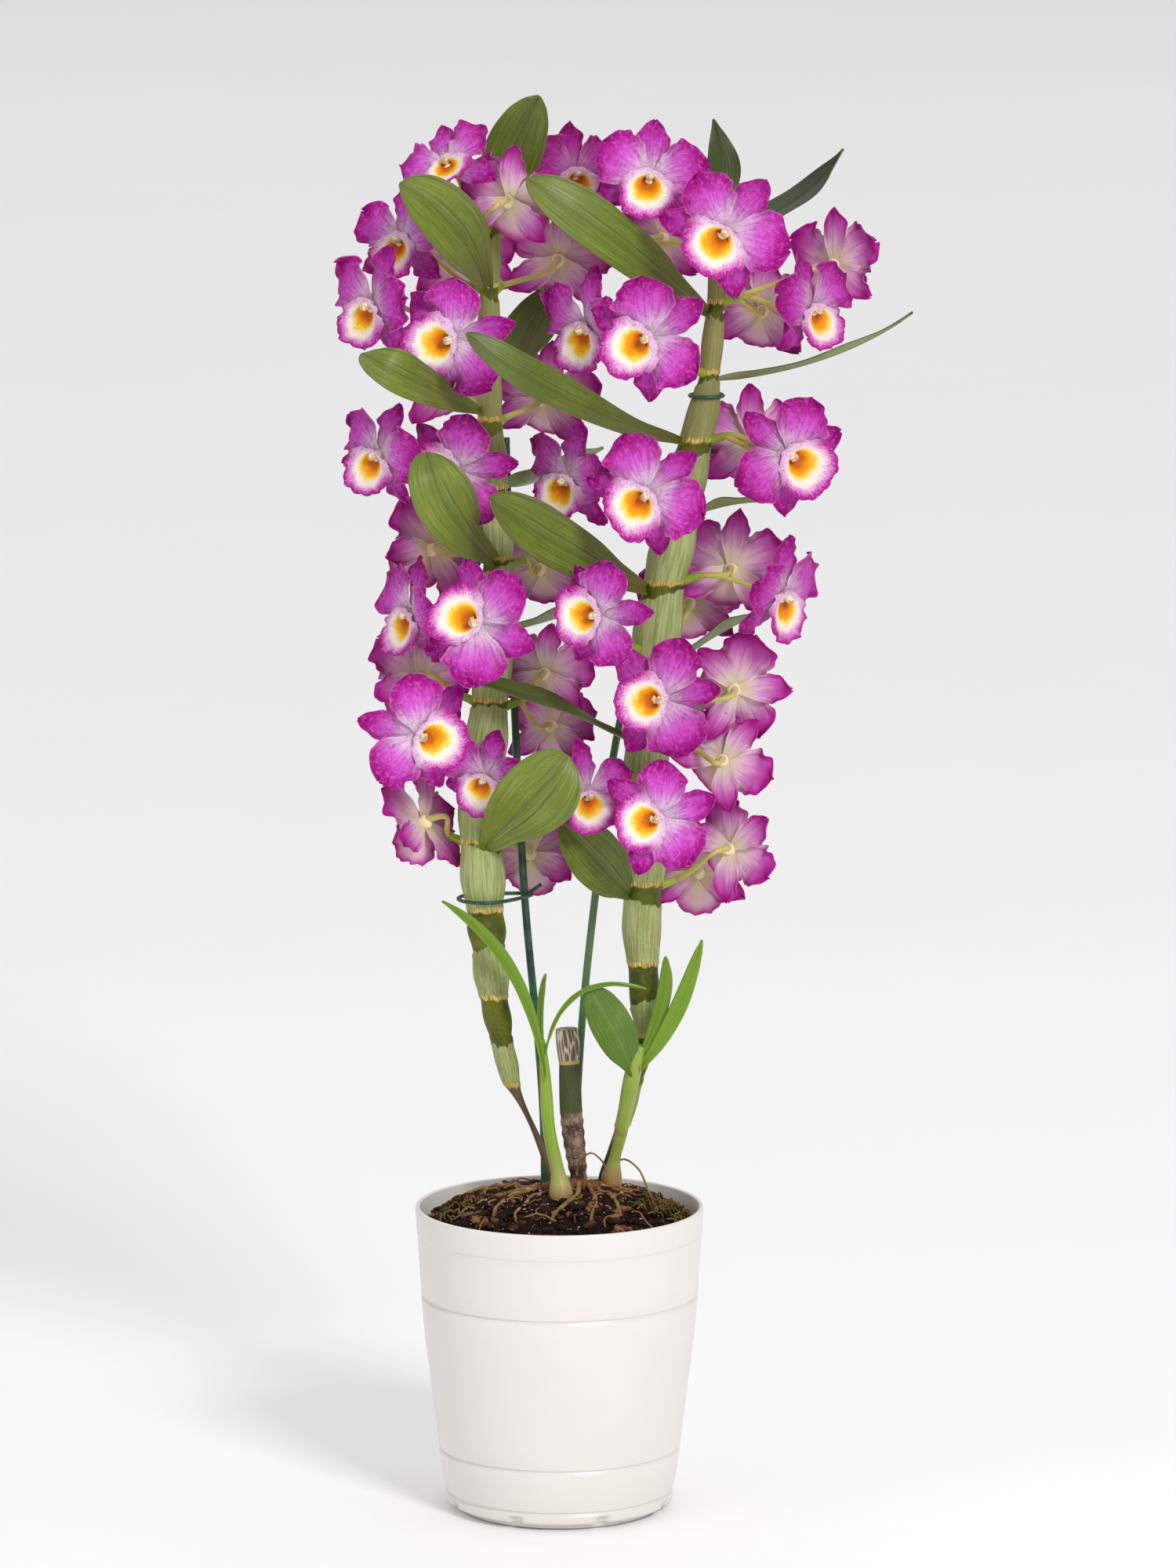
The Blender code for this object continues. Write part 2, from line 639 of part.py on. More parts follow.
def bloom_pieces(name, bloom, start, work):
    """Pieces of one bloom with its stalk."""
    x, y, z, azimuth, elevation, roll, size = bloom
    centre = Vector((x, y, z))
    right, up, forward = bloom_frame(azimuth, elevation, roll)
    frame = (centre, right, up, forward)
    back = centre - forward * 12.0 * size
    back.z -= 1.0
    line = [*start, back, centre - forward * 2.6, centre + forward * 2.6]
    thin = PEDICEL_RADIUS
    radii = [thin] * (len(start) + 1) + [HUB_RADIUS * size, HUB_RADIUS * size]
    return [
        tube(name + "_stalk", line, radii, work, 0),
        whorl(name + "_sepals", frame, sepal_rim(size), ((3, 7), (7, 11), (11, 3)), None, PETAL_THICKNESS, work),
        whorl(name + "_petals", frame, petal_rim(size), ((5, 11),), None, PETAL_THICKNESS, work),
        whorl(name + "_lip", frame, lip_rim(size), (), (0, -0.6, 2.2), LIP_THICKNESS, work),
    ]


def build_spray(row, surfaces, group, work):
    name, cane, z, azimuth, blooms = row
    reach = side(azimuth) * 5.0 + Vector((0, 0, 2.0))

    def make(start):
        return tube(name, (start, start + reach), (PEDICEL_RADIUS, PEDICEL_RADIUS), work, 0)

    foot = seat(cane, z, azimuth, surfaces[cane], make)
    joint = foot + reach
    pieces = []
    for index, bloom in enumerate(blooms):
        start = (foot, joint) if index == 0 else (joint + Vector((0.1, 0.0, 0.1)),)
        pieces += bloom_pieces(f"{name}_{index}", bloom, start, work)
    spray = union(name, pieces, work)
    return finish(spray, "bloom_magenta", group)


def surface_line(spots, radius, clear=0.8):
    """Points for a root that runs over the mix at these x, y spots."""
    line = []
    for x, y in spots:
        z = mix_height(math.hypot(x, y)) + radius + clear
        line.append((x, y, z))
    return line


def build_roots(group, work):
    """The rhizome between the stem bases, with its roots arching down onto the mix."""
    crown_z = 138.0
    crown = ((-9, 4, crown_z), (0, 2.5, crown_z + 1), (9, 4.5, crown_z + 1), (18, 5, crown_z))
    pieces = [tube("roots", crown, (2.0, 2.4, 2.4, 2.0), work, 1)]
    for index, (start, spots, radius) in enumerate(
        (
            ((-8, 4, 138), ((-15, 8), (-21, 13), (-27, 20), (-38, 22), (-46, 15), (-45, 2)), 1.2),
            ((-8, 4, 138), ((-14, -1), (-20, -8), (-26, -20), (-28, -34)), 1.2),
            ((-1, 2.5, 139), ((-8.5, -4), (-13, -16), (-18, -32), (-14, -44)), 1.0),
            ((8, 4, 139), ((7.5, -8), (3, -22), (-2, -32), (-4, -44)), 1.3),
            ((12, 4.5, 139), ((14, -4), (15, -16), (14, -30), (12, -42)), 1.2),
            ((16, 5, 138), ((20, -4), (24, -15), (25, -27), (32, -34)), 1.2),
            ((17, 5, 138), ((27, 3), (36, 0), (44, -8)), 1.0),
            ((17, 5, 138), ((29, 10), (38, 18), (46, 20)), 1.0),
            ((-8, 4, 138), ((-20, 0), (-31, -5), (-38, -11)), 1.0),
        )
    ):
        line = [start, *surface_line(spots, radius)]
        radii = [radius * 1.15] + [radius] * (len(spots) - 1) + [radius * 0.7]
        pieces.append(tube(f"root_{index}", line, radii, work, 0))
    roots = union("roots", pieces, work)
    return finish(roots, "root_skin", group)


def build_old_cane(group, work):
    points = ((8, 13, 119), (8, 13, 137), (6.4, 13.5, 150), (4.8, 14, 166), (4.3, 14.5, 180), (3.9, 15, 189), (2.9, 15, 200))
    radii = (3.0, 3.2, 4.4, 4.7, 4.5, 4.6, 4.5)
    stub = tube("old_cane_stub", points, radii, work, 2)
    return finish(stub, "old_cane", group)


def build_front_shoot(group, work):
    """The young front growth: swollen foot, slim stem and three narrow leaves."""
    points = ((0.5, -9, 128), (0.5, -9, 133), (0.3, -9, 138), (-0.6, -9, 144), (-2.4, -9, 152), (-4, -9, 160), (-5.6, -9, 180), (-6.8, -8.5, 198))
    radii = (3.6, 4.9, 4.9, 3.8, 3.0, 2.7, 2.7, 2.2)
    pieces = [tube("shoot_front", points, radii, work, 1)]
    for name, start, middle, end, width, facing in (
        ("a", (-6.3, -8.7, 190), (-19, -15, 229), (-48, -24, 261), 6.0, (0.5, -1, 0.3)),
        ("b", (-6.6, -8.6, 196), (7, -10.5, 219), (36, -6, 221), 3.0, (0.2, -1, -0.2)),
        ("c", (-6.3, -8.4, 190), (-8, -6, 214), (-5, -4, 232), 3.4, (0.6, -1, 0)),
    ):
        place = leaf_place(Vector(start), Vector(middle), Vector(end), width, facing)
        pieces.append(blade("shoot_leaf_" + name, (0.0, 0.3, 0.62, 1.0), 2, place, LEAF_THICKNESS, work))
    shoot = union("shoot_front", pieces, work)
    return finish(shoot, "shoot_green", group)


def build_right_shoot(group, work):
    """The young growth in front of the right cane: oval leaf and two upright narrow leaves."""
    points = ((21.7, 12, 125), (21.7, 12, 136), (22.6, 11, 143), (25.5, 8, 156), (28, 5, 170), (30.8, 0.5, 185), (33.4, -0.8, 196))
    radii = (2.6, 2.8, 2.4, 2.6, 3.2, 3.4, 2.4)
    pieces = [tube("shoot_right", points, radii, work, 1)]
    for name, start, middle, end, width, facing in (
        ("oval", (31, -0.5, 186), (22.5, -6, 203), (12, -6, 222), 17.0, (0.3, -1, 0.2)),
        ("up", (32.5, -0.7, 192), (42, -3, 212), (44, -3, 234), 6.2, (0.3, -1, 0)),
        ("long", (32, -0.5, 187), (47, -4, 208), (59, -9, 242), 6.8, (0.2, -1, 0.1)),
    ):
        place = leaf_place(Vector(start), Vector(middle), Vector(end), width, facing)
        pieces.append(blade("shoot_right_" + name, (0.0, 0.3, 0.62, 1.0), 2, place, LEAF_THICKNESS, work))
    shoot = union("shoot_right", pieces, work)
    return finish(shoot, "shoot_green", group)


def build_stakes(group, work):
    left = ((-6.8, 21, 72), (-6.8, 21, 160), (-14.8, 11, 262), (-18.6, 16, 336), (-20.8, 17, 402), (-22, 17, 448))
    right = ((6.3, 28, 72), (6.3, 28, 140), (9.3, 27, 199), (15.5, 26, 259), (24, 26, 322), (40.5, 25, 388), (55.7, 22, 447), (61.6, 18.6, 468), (63.5, 19, 488))
    for name, points in (("stake_left", left), ("stake_right", right)):
        stake = tube(name, points, [STAKE_RADIUS] * len(points), work, 1)
        finish(stake, "stake_green", group)


def loop_points(circles, z, steps, start):
    """An open loop drawn tight round upright rounds, given as x, y and radius; its two ends stay apart."""
    points = []
    for index in range(steps + 1):
        angle = start + math.tau * index / (steps + 1.6)
        out = (math.cos(angle), math.sin(angle))
        x, y, radius = max(circles, key=lambda row: row[0] * out[0] + row[1] * out[1] + row[2])
        points.append((x + radius * out[0], y + radius * out[1], z))
    return points


def build_ties(group, work):
    """Wire ties that hold each cane to its stake."""
    clear = TIE_RADIUS + 0.7
    lower = loop_points(((-31.2, 2.0, 9.2 + clear), (-14.5, 11.6, STAKE_RADIUS + clear)), 257.5, 17, 0.9)
    lower.append((-7.5, 14.0, 261.5))
    upper = loop_points(((60.6, 8.0, 5.4 + clear), (61.4, 18.8, STAKE_RADIUS + clear)), 466.5, 17, 1.2)
    for name, points in (("tie_lower", lower), ("tie_upper", upper)):
        tie = tube(name, points, [TIE_RADIUS] * len(points), work, 0)
        finish(tie, "stake_green", group)


def main():
    clear_scene()
    group = make_collection("dendrobium_orchid")
    work = make_collection("work")
    cutters = make_collection("cutters", hidden=True)
    holes = make_collection("mix_holes", hidden=True)
    build_pot(group, work, cutters)
    build_holes(holes)
    build_mix(group, work, holes)
    build_roots(group, work)
    surfaces = {}
    for cane, (points, nodes) in CANES.items():
        surfaces[cane] = surface_of(build_cane("cane_" + cane, points, nodes, group, work))
    build_old_cane(group, work)
    build_front_shoot(group, work)
    build_right_shoot(group, work)
    build_stakes(group, work)
    build_ties(group, work)
    for row in LEAVES:
        build_leaf(row, surfaces, group, work)
    for row in SPRAYS:
        build_spray(row, surfaces, group, work)
    for cutter in list(cutters.objects) + list(holes.objects):
        cutter.hide_render = True
        cutter.display_type = "WIRE"


main()
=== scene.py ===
"""Looks of a flowering dendrobium orchid in its white pot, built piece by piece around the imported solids.

Lengths in the tables are in millimetres and scaled to metres when a mesh is made.
+Z is up, the pot's underside is z = 0, and the front of the plant looks along -Y.
"""

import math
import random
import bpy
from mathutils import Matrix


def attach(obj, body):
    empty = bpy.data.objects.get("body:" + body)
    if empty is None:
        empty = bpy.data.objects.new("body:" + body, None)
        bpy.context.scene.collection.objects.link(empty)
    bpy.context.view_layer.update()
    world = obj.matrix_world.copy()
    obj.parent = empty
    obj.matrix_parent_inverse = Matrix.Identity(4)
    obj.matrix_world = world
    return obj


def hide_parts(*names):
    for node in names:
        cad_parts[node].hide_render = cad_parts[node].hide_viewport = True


bl_info = {
    "name": "Dendrobium orchid looks",
    "version": (1, 0, 0),
    "blender": (4, 5, 0),
    "location": "3D View > Sidebar > Orchid",
    "description": "Petals, leaves, canes, roots, mix and pot of a flowering dendrobium",
    "category": "Object",
}

import bpy
import numpy as np
from mathutils import Matrix, Vector, noise

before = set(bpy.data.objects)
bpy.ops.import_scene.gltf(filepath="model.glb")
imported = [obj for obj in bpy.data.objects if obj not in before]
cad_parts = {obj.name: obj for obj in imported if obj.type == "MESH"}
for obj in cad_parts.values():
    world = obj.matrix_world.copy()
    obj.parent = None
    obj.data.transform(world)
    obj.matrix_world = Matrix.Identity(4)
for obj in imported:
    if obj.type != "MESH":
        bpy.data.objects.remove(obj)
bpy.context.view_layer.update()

MM = 0.001

# Pot
POT_HEIGHT = 128.2
RIM_RADIUS = 60.0
LIP_BAND_Z = 117.0
FOOT_RADIUS = 42.0
FLOOR_THICKNESS = 2.6
INNER_FLOOR_RADIUS = 45.0
INNER_RIM_RADIUS = 58.2
POT_SIDES = 192
POT_UV_LENGTH = 400.0

# Grooves round the pot: height and the wall's radius there; then a groove's section, as how far
# above that height and what share of the depth
GROOVES = ((91.0, 57.8), (26.0, 50.6), (7.5, 47.7))
GROOVE_SECTION = ((1.0, 0.0), (0.65, 0.1), (0.4, 0.8), (0.15, 1.0), (-0.3, 0.95), (-0.9, 0.35), (-1.7, 0.0))
GROOVE_DEPTH = 0.9
WALL_LEAN = 0.06

# Notches of the skirt: how many, its radius, the heights and the radius from which they are cut,
# the half width where one starts and ends to run out, and the depth
SKIRT_NOTCHES = 8
SKIRT_RADIUS = 47.0
SKIRT_BAND = (2.6, 5.6)
SKIRT_INSIDE = 44.4
NOTCH_EDGE = (2.0, 2.8)
NOTCH_DEPTH = 2.4

# Potting mix: radius and height of the mound, then its grain and what lies on it
MIX_STATIONS = ((0.0, 134.0), (20.0, 133.0), (36.0, 130.3), (50.0, 125.0), (56.8, 120.0))
MIX_EDGE = 56.8
MIX_INSIDE = 56.6
MIX_RINGS = 76
MIX_SIDES = 200
MIX_SINK = 0.6
MIX_SKIRT_Z = 100.0
MIX_UV_RADIUS = 57.0
MIX_SEED = 11
CRUMB_GRID = (5, 6)
BARK_REACH = 55.2
PALE_SPECKS = 380
SPECK_REACH = 54.0
COIR_FIBRES = 55
MOSS_FIBRES = 85
FIBRE_POINTS = 7
FIBRE_REACH = 54.5

# Rhizome between the stems, with its radius; then the roots: start, places over the mix, radius.
# The last three are fine side roots that leave the main ones
RHIZOME = ((-9, 4, 135, 2.4), (0, 3.5, 136, 3.0), (9, 6, 136, 3.0), (18, 7, 135, 2.4))
ROOTS = (
    ((-8, 4, 138), ((-15, 8), (-21, 13), (-27, 20), (-38, 22), (-46, 15), (-45, 2)), 1.2),
    ((-8, 4, 138), ((-14, -1), (-20, -8), (-26, -20), (-28, -34)), 1.2),
    ((-1, 2.5, 139), ((-8.5, -4), (-13, -16), (-18, -32), (-14, -44)), 1.0),
    ((8, 4, 139), ((7.5, -8), (3, -22), (-2, -32), (-4, -44)), 1.3),
    ((12, 4.5, 139), ((14, -4), (15, -16), (14, -30), (12, -42)), 1.2),
    ((16, 5, 138), ((20, -4), (24, -15), (25, -27), (32, -34)), 1.2),
    ((17, 5, 138), ((27, 3), (36, 0), (44, -8)), 1.0),
    ((17, 5, 138), ((29, 10), (38, 18), (46, 20)), 1.0),
    ((-8, 4, 138), ((-20, 0), (-31, -5), (-38, -11)), 1.0),
    (None, ((-20, -8), (-27, -10), (-33, -18), (-31, -30)), 0.6),
    (None, ((15, -16), (21, -24), (20, -38)), 0.6),
    (None, ((-31, -5), (-40, -14), (-42, -26)), 0.6),
)
ROOT_POINTS = 46
ROOT_SEED = 5

# Thin roots that arch through the air
AIR_ROOTS = (
    ((23, 17, 142), (27, 12, 145), (33, 6, 142), (37, 2, 134), (39, 0, 130)),
    ((7, 6, 139), (9, 2, 147), (13, 1, 150), (17, 3, 147), (20, 6, 141)),
)
AIR_ROOT_RADIUS = 0.42

# Canes: centre line points with the cane's radius there, from the mix upwards
CANE_LEFT = (
    (-2.6, 12, 117, 2.0),
    (-2.7, 12, 136, 2.0),
    (-5.8, 10, 146, 2.0),
    (-17.2, 5.5, 173, 2.2),
    (-19.6, 4.6, 178, 3.6),
    (-24.0, 3, 197, 5.0),
    (-27.0, 2, 214, 6.4),
    (-29.5, 2, 236, 7.4),
    (-31.2, 2, 258, 8.6),
    (-32.6, 2, 284, 9.2),
    (-31.6, 2, 310, 9.0),
    (-28.6, 2, 342, 8.0),
    (-26.0, 2, 372, 7.4),
    (-25.0, 3, 402, 6.8),
    (-26.6, 4, 430, 6.0),
    (-28.4, 5, 456, 5.2),
    (-29.0, 6, 483, 4.6),
    (-28.4, 6, 511, 4.0),
    (-26.6, 6, 536, 3.2),
    (-25.0, 6, 556, 2.2),
)
CANE_RIGHT = (
    (18.2, 25.8, 117, 2.2),
    (18.2, 25.8, 134, 2.2),
    (22.1, 22, 146, 2.4),
    (26.3, 18, 158, 3.4),
    (30.0, 15, 172, 3.4),
    (35.0, 12, 192, 4.2),
    (36.2, 11, 198, 4.8),
    (35.6, 9, 215, 6.4),
    (34.7, 8, 230, 7.2),
    (34.1, 8, 245, 7.6),
    (34.7, 8, 260, 8.8),
    (35.2, 8, 292, 9.4),
    (36.4, 8, 323, 9.6),
    (38.5, 8, 350, 9.8),
    (42.0, 8, 382, 9.4),
    (48.0, 8, 410, 8.8),
    (54.6, 8, 443, 7.8),
    (58.5, 8, 456, 7.0),
    (61.0, 8, 468, 4.8),
    (63.6, 8, 494, 4.0),
    (65.0, 8, 515, 3.5),
    (65.0, 8, 548, 2.6),
)
NODES_LEFT = (178, 198, 216, 236, 253, 281, 310, 340, 370, 399, 428, 456, 483, 511, 536)
NODES_RIGHT = (158, 177, 198, 229, 259, 291, 323, 354, 388, 418, 447, 475, 504, 532)
CANES = {"left": (CANE_LEFT, NODES_LEFT), "right": (CANE_RIGHT, NODES_RIGHT)}
NODE_PINCH = 0.9
INTERNODE_SWELL = 1.06
CANE_STEP = 0.9
CANE_SIDES = 44
CANE_SINK = 0.2

# Papery sheaths: height of the ringed node where one starts, height where it ends
SHEATHS_LEFT = (
    *((178, 198), (216, 236), (253, 280), (282, 309), (311, 337), (341, 366), (371, 396)),
    *((400, 425), (429, 453), (457, 480), (484, 508), (512, 533), (537, 556)),
)
SHEATHS_RIGHT = (
    *((158, 178), (198, 212), (229, 256), (263, 290), (292, 321), (324, 350), (355, 384)),
    *((389, 414), (419, 444), (448, 471), (476, 500), (505, 528), (533, 548)),
)

# Stems of the old cane and of the two young shoots: points with the radius there
OLD_CANE = (
    *((8, 13, 119, 3.0), (8, 13, 137, 3.4), (7.2, 13.2, 144, 4.0), (6.4, 13.5, 150, 4.4)),
    *((4.8, 14, 166, 4.7), (4.3, 14.5, 180, 4.5), (4.0, 15, 186, 4.3), (3.8, 15, 190, 4.7)),
    *((3.0, 15, 198.5, 4.6), (2.9, 15, 200, 4.4)),
)
FRONT_SHOOT = (
    *((0.5, -9, 128, 3.6), (0.6, -9.2, 132.5, 5.0), (0.5, -9, 137, 4.7), (-0.3, -9, 142, 3.3)),
    *((-2.4, -9, 152, 2.8), (-4, -9, 160, 2.7), (-5.6, -9, 180, 2.5), (-6.3, -8.7, 190, 2.0)),
    (-6.8, -8.5, 200, 0.9),
)
RIGHT_SHOOT = (
    *((21.7, 12, 125, 3.0), (21.7, 12, 134, 4.4), (21.9, 12, 138, 4.2), (22.8, 11, 144, 2.7)),
    *((25.5, 8, 156, 2.6), (28, 5, 170, 3.2), (30.8, 0.5, 185, 3.4), (33.4, -0.8, 196, 2.4)),
)

# Leaves of the young shoots: start, middle, tip, width, facing, how lit it is painted
FRONT_SHOOT_LEAVES = (
    ((-6.0, -10.6, 182), (-19, -15, 229), (-48, -24, 261), 5.2, (0.5, -1, 0.3), 0.75),
    ((-6.6, -9.4, 190), (7, -10.5, 219), (36, -6, 221), 2.0, (0.2, -1, -0.2), 0.6),
    ((-6.3, -8.4, 186), (-8, -6, 210), (-5.6, -4.5, 227), 2.8, (0.6, -1, 0), 0.4),
)
RIGHT_SHOOT_LEAVES = (
    ((31, -0.5, 184), (22.5, -6, 203), (12, -6, 222), 17.5, (0.3, -1, 0.2), 0.05),
    ((32.5, -0.7, 190), (42, -3, 212), (44, -3, 234), 6.2, (0.3, -1, 0), 0.7),
    ((32, -0.5, 185), (47, -4, 208), (59, -9, 242), 6.8, (0.2, -1, 0.1), 0.9),
)
SHOOT_LEAF_SIZE = (34, 9)
SHOOT_LEAF_THICKNESS = 0.8

# Coated wire stakes, and the ties: height, where the loop starts, rounds of the cane and the stake
# that it goes round as x, y and radius, and the points of its free end
STAKE_RADIUS = 1.6
STAKES = {
    "stake_left": (
        *((-6.8, 21, 72), (-6.8, 21, 160), (-14.8, 11, 262)),
        *((-18.6, 16, 336), (-20.8, 17, 402), (-22, 17, 448)),
    ),
    "stake_right": (
        *((6.3, 28, 72), (6.3, 28, 140), (9.3, 27, 199), (15.5, 26, 259), (24, 26, 322)),
        *((40.5, 25, 388), (55.7, 22, 447), (61.6, 18.6, 468), (63.5, 19, 488)),
    ),
}
TIES = {
    "tie_lower": (257.5, 0.9, (-31.2, 2.0, 9.2), (-14.5, 11.6, STAKE_RADIUS), [(-7.5, 14.0, 261.5)]),
    "tie_upper": (466.5, 1.2, (60.6, 8.0, 5.4), (61.4, 18.8, STAKE_RADIUS), []),
}
TIE_RADIUS = 0.8
TIE_CLEAR = 0.7
LOOP_GAP = 1.6

# Leaves: name, cane, height of the node, azimuth on the cane, bow at mid length, tip, width, facing
LEAVES = (
    ("leaf_left_top", "left", 540, 180, (-3, 2, -1), (-8, 10, 589.3), 24, (0.2, -1, 0.1)),
    ("leaf_left_12", "left", 511, -40, (5, -8, 5), (-64, -44, 558), 25, (0.1, -1, 0.3)),
    ("leaf_left_10", "left", 470, 165, (3, 0, 2), (-2, 61.7, 509), 22, (0.4, 0.6, 0.8)),
    ("leaf_left_9", "left", 460, -60, (-1, -30, 4), (-79, -59.7, 491), 19, (0.2, -1, 0.5)),
    ("leaf_left_8", "left", 428, 140, (4, 2, 0), (18, 50, 440), 19, (-0.3, 0.5, 0.8)),
    ("leaf_left_6", "left", 399, -20, (-4, -28, 3), (-53, -59.2, 451), 26, (0.2, -1, 0.3)),
    ("leaf_left_5", "left", 370, 100, (3, 4, 0), (10, 56, 372), 21, (-0.2, 0.5, 0.8)),
    ("leaf_left_2", "left", 281, 15, (2, -13, 3), (4, -34, 323), 32, (0.35, -1, 0.2)),
    ("leaf_right_top", "right", 545, 60, (1, 1, 0), (63, 8, 580), 15, (0.4, -1, 0.1)),
    ("leaf_right_14", "right", 532, 130, (5, 6, -4), (117, 32, 566), 18, (-0.55, -0.45, 0.6)),
    ("leaf_right_13", "right", 500, -75, (-2, -14, 5), (-13, -30, 559), 23, (0.2, -1, 0.5)),
    ("leaf_right_12", "right", 473, 80, (4, 5, -5), (144.6, -2, 502), 11, (-0.2, 0.25, 1)),
    ("leaf_right_11", "right", 447, -60, (-3, -22, -1), (-37, -66, 500), 18, (0.2, -1, 0.8)),
    ("leaf_right_10", "right", 418, 75, (0, 0, 2), (88, -2, 424), 17, (0, 0.2, 1)),
    ("leaf_right_9", "right", 386, -65, (-4, -3, 1), (-28, -56, 432), 24, (0.1, -1, 0.5)),
    ("leaf_right_8", "right", 354, 115, (2, 2, 3), (80, 20, 373), 19, (-0.2, 0.3, 1)),
    ("leaf_right_7", "right", 323, -75, (0, -6, 5), (-40, -22, 353), 15, (0.2, -0.35, 1)),
    ("leaf_right_7b", "right", 318, 165, (2, 3, 3), (58, 61.8, 330), 19, (0, 0.3, 1)),
    ("leaf_right_5", "right", 259, -50, (2, -3, -1), (1, -14, 292), 24, (0.3, -1, 0.3)),
)

# How lit each leaf is painted, below 0 in painted shade, and how purple; the rest have the middle tone
MIDDLE_TONE = (0.2, 0.25)
LEAF_TONES = {
    "leaf_left_top": (0.35, 0.1),
    "leaf_left_12": (0.75, 0.45),
    "leaf_left_9": (0.7, 0.2),
    "leaf_left_6": (0.8, 0.3),
    "leaf_left_2": (0.85, 0.05),
    "leaf_right_13": (0.65, 0.35),
    "leaf_right_11": (0.3, 0.35),
    "leaf_right_9": (0.6, 0.6),
    "leaf_right_7": (0.15, 0.2),
    "leaf_right_5": (0.4, 0.1),
    "leaf_right_top": (-0.2, 0.1),
    "leaf_right_12": (0.1, 0.7),
    "leaf_right_14": (-0.4, 0.1),
}

# Sprays: name, cane, height and azimuth of the stalk's foot, then the blooms as
# x, y, z of the centre, azimuth, elevation, roll and size factor
SPRAYS = (
    ("spray_left_1", "left", 281, -110, ((-56, 3, 290, -125, -20, 20, 0.95),)),
    ("spray_left_2", "left", 279, 165, ((-12, 28, 272, 170, -25, 0, 0.85),)),
    (
        *("spray_left_3", "left", 308, -45),
        ((-57, -34, 332, 15, -5, 75, 1.0), (-30, -19, 312, -25, -15, -20, 0.8)),
    ),
    ("spray_left_4", "left", 340, -110, ((-57, 2, 350, -150, -15, 20, 0.95),)),
    ("spray_left_5", "left", 338, 100, ((-6, 6, 352, 165, 5, 10, 0.85), (-3, 30, 326, 150, -10, 0, 0.85))),
    (
        *("spray_left_6", "left", 368, -40),
        ((-60, -22, 380, -60, 0, -10, 0.95), (-33, -44, 380, -18, 0, -115, 1.0)),
    ),
    ("spray_left_7", "left", 399, -110, ((-52, 2, 404, -150, 0, 30, 0.95),)),
    ("spray_left_8", "left", 397, 110, ((-8, 18, 394, 165, 5, -10, 0.9),)),
    (
        *("spray_left_9", "left", 427, -40),
        ((-73, -26, 446, -42, 0, -20, 0.9), (-42, -27, 440, -14, 0, -80, 0.95)),
    ),
    (
        *("spray_left_10", "left", 454, 150),
        ((-6, 40, 462, 160, 5, 10, 0.95), (-46, 42, 470, -160, 5, -10, 0.95)),
    ),
    (
        *("spray_left_11", "left", 482, -40),
        ((-75, -24, 507, -50, 0, -15, 0.97), (-43, -32, 494, -20, 0, -76, 1.0)),
    ),
    ("spray_left_12", "left", 510, -110, ((-64, -8, 532, -35, 10, 0, 0.9),)),
    ("spray_left_13", "left", 509, 150, ((-40, 40, 522, -165, 10, 0, 0.95), (0, 40, 520, 165, 10, 10, 0.95))),
    (
        *("spray_left_14", "left", 535, -60),
        ((-45, -9, 563, -30, 34, 30, 0.85), (-20, -14, 549, 155, 0, 10, 0.9)),
    ),
    ("spray_left_15", "left", 533, 120, ((6, 25, 556, 25, 10, 0, 0.85),)),
    (
        *("spray_right_1", "right", 262, 100),
        ((71, 0, 279, 150, -10, 50, 0.85), (58, 28, 264, 185, -30, 0, 0.85)),
    ),
    ("spray_right_2", "right", 289, -30, ((40, -30, 297, 2, 0, -77, 0.95), (11, -20, 305, 25, 0, 0, 0.85))),
    ("spray_right_3", "right", 318, 95, ((68, 2, 316, 165, -5, 45, 0.85),)),
    ("spray_right_4", "right", 338, 30, ((41, -28, 346, 4, 0, -86, 1.0), (73, 4, 345, 170, 0, 85, 0.9))),
    ("spray_right_5", "right", 362, -50, ((16, -44, 383, -30, 0, -85, 0.9),)),
    ("spray_right_6", "right", 362, 150, ((54, 42, 376, 180, 0, 0, 0.9),)),
    ("spray_right_7", "right", 390, 80, ((91, -8, 386, 52, -15, 0, 0.95), (71, 16, 394, 175, 0, 10, 0.95))),
    (
        *("spray_right_8", "right", 416, -45),
        ((36, -36, 431, -10, 0, -45, 1.0), (4, -8, 434, -42, -5, -15, 0.95)),
    ),
    ("spray_right_9", "right", 448, 85, ((94, -18, 445, 20, 0, 50, 1.0), (80, 15, 446, 180, 0, 0, 0.95))),
    (
        *("spray_right_10", "right", 476, -45),
        ((36, -36, 495, -12, 0, -58, 1.0), (12, -14, 497, -48, -10, -10, 1.0)),
    ),
    (
        *("spray_right_11", "right", 505, 90),
        ((103, -10, 504, 48, 0, 10, 0.9), (113, 18, 520, 145, 0, 0, 0.9), (84, 26, 500, 175, 0, 10, 0.9)),
    ),
    (
        *("spray_right_12", "right", 528, -20),
        ((37, -12, 558, 0, 10, -10, 0.95), (67, -36, 538, 5, 0, -42, 1.05), (43, 17, 531, 150, 0, 0, 0.85)),
    ),
)

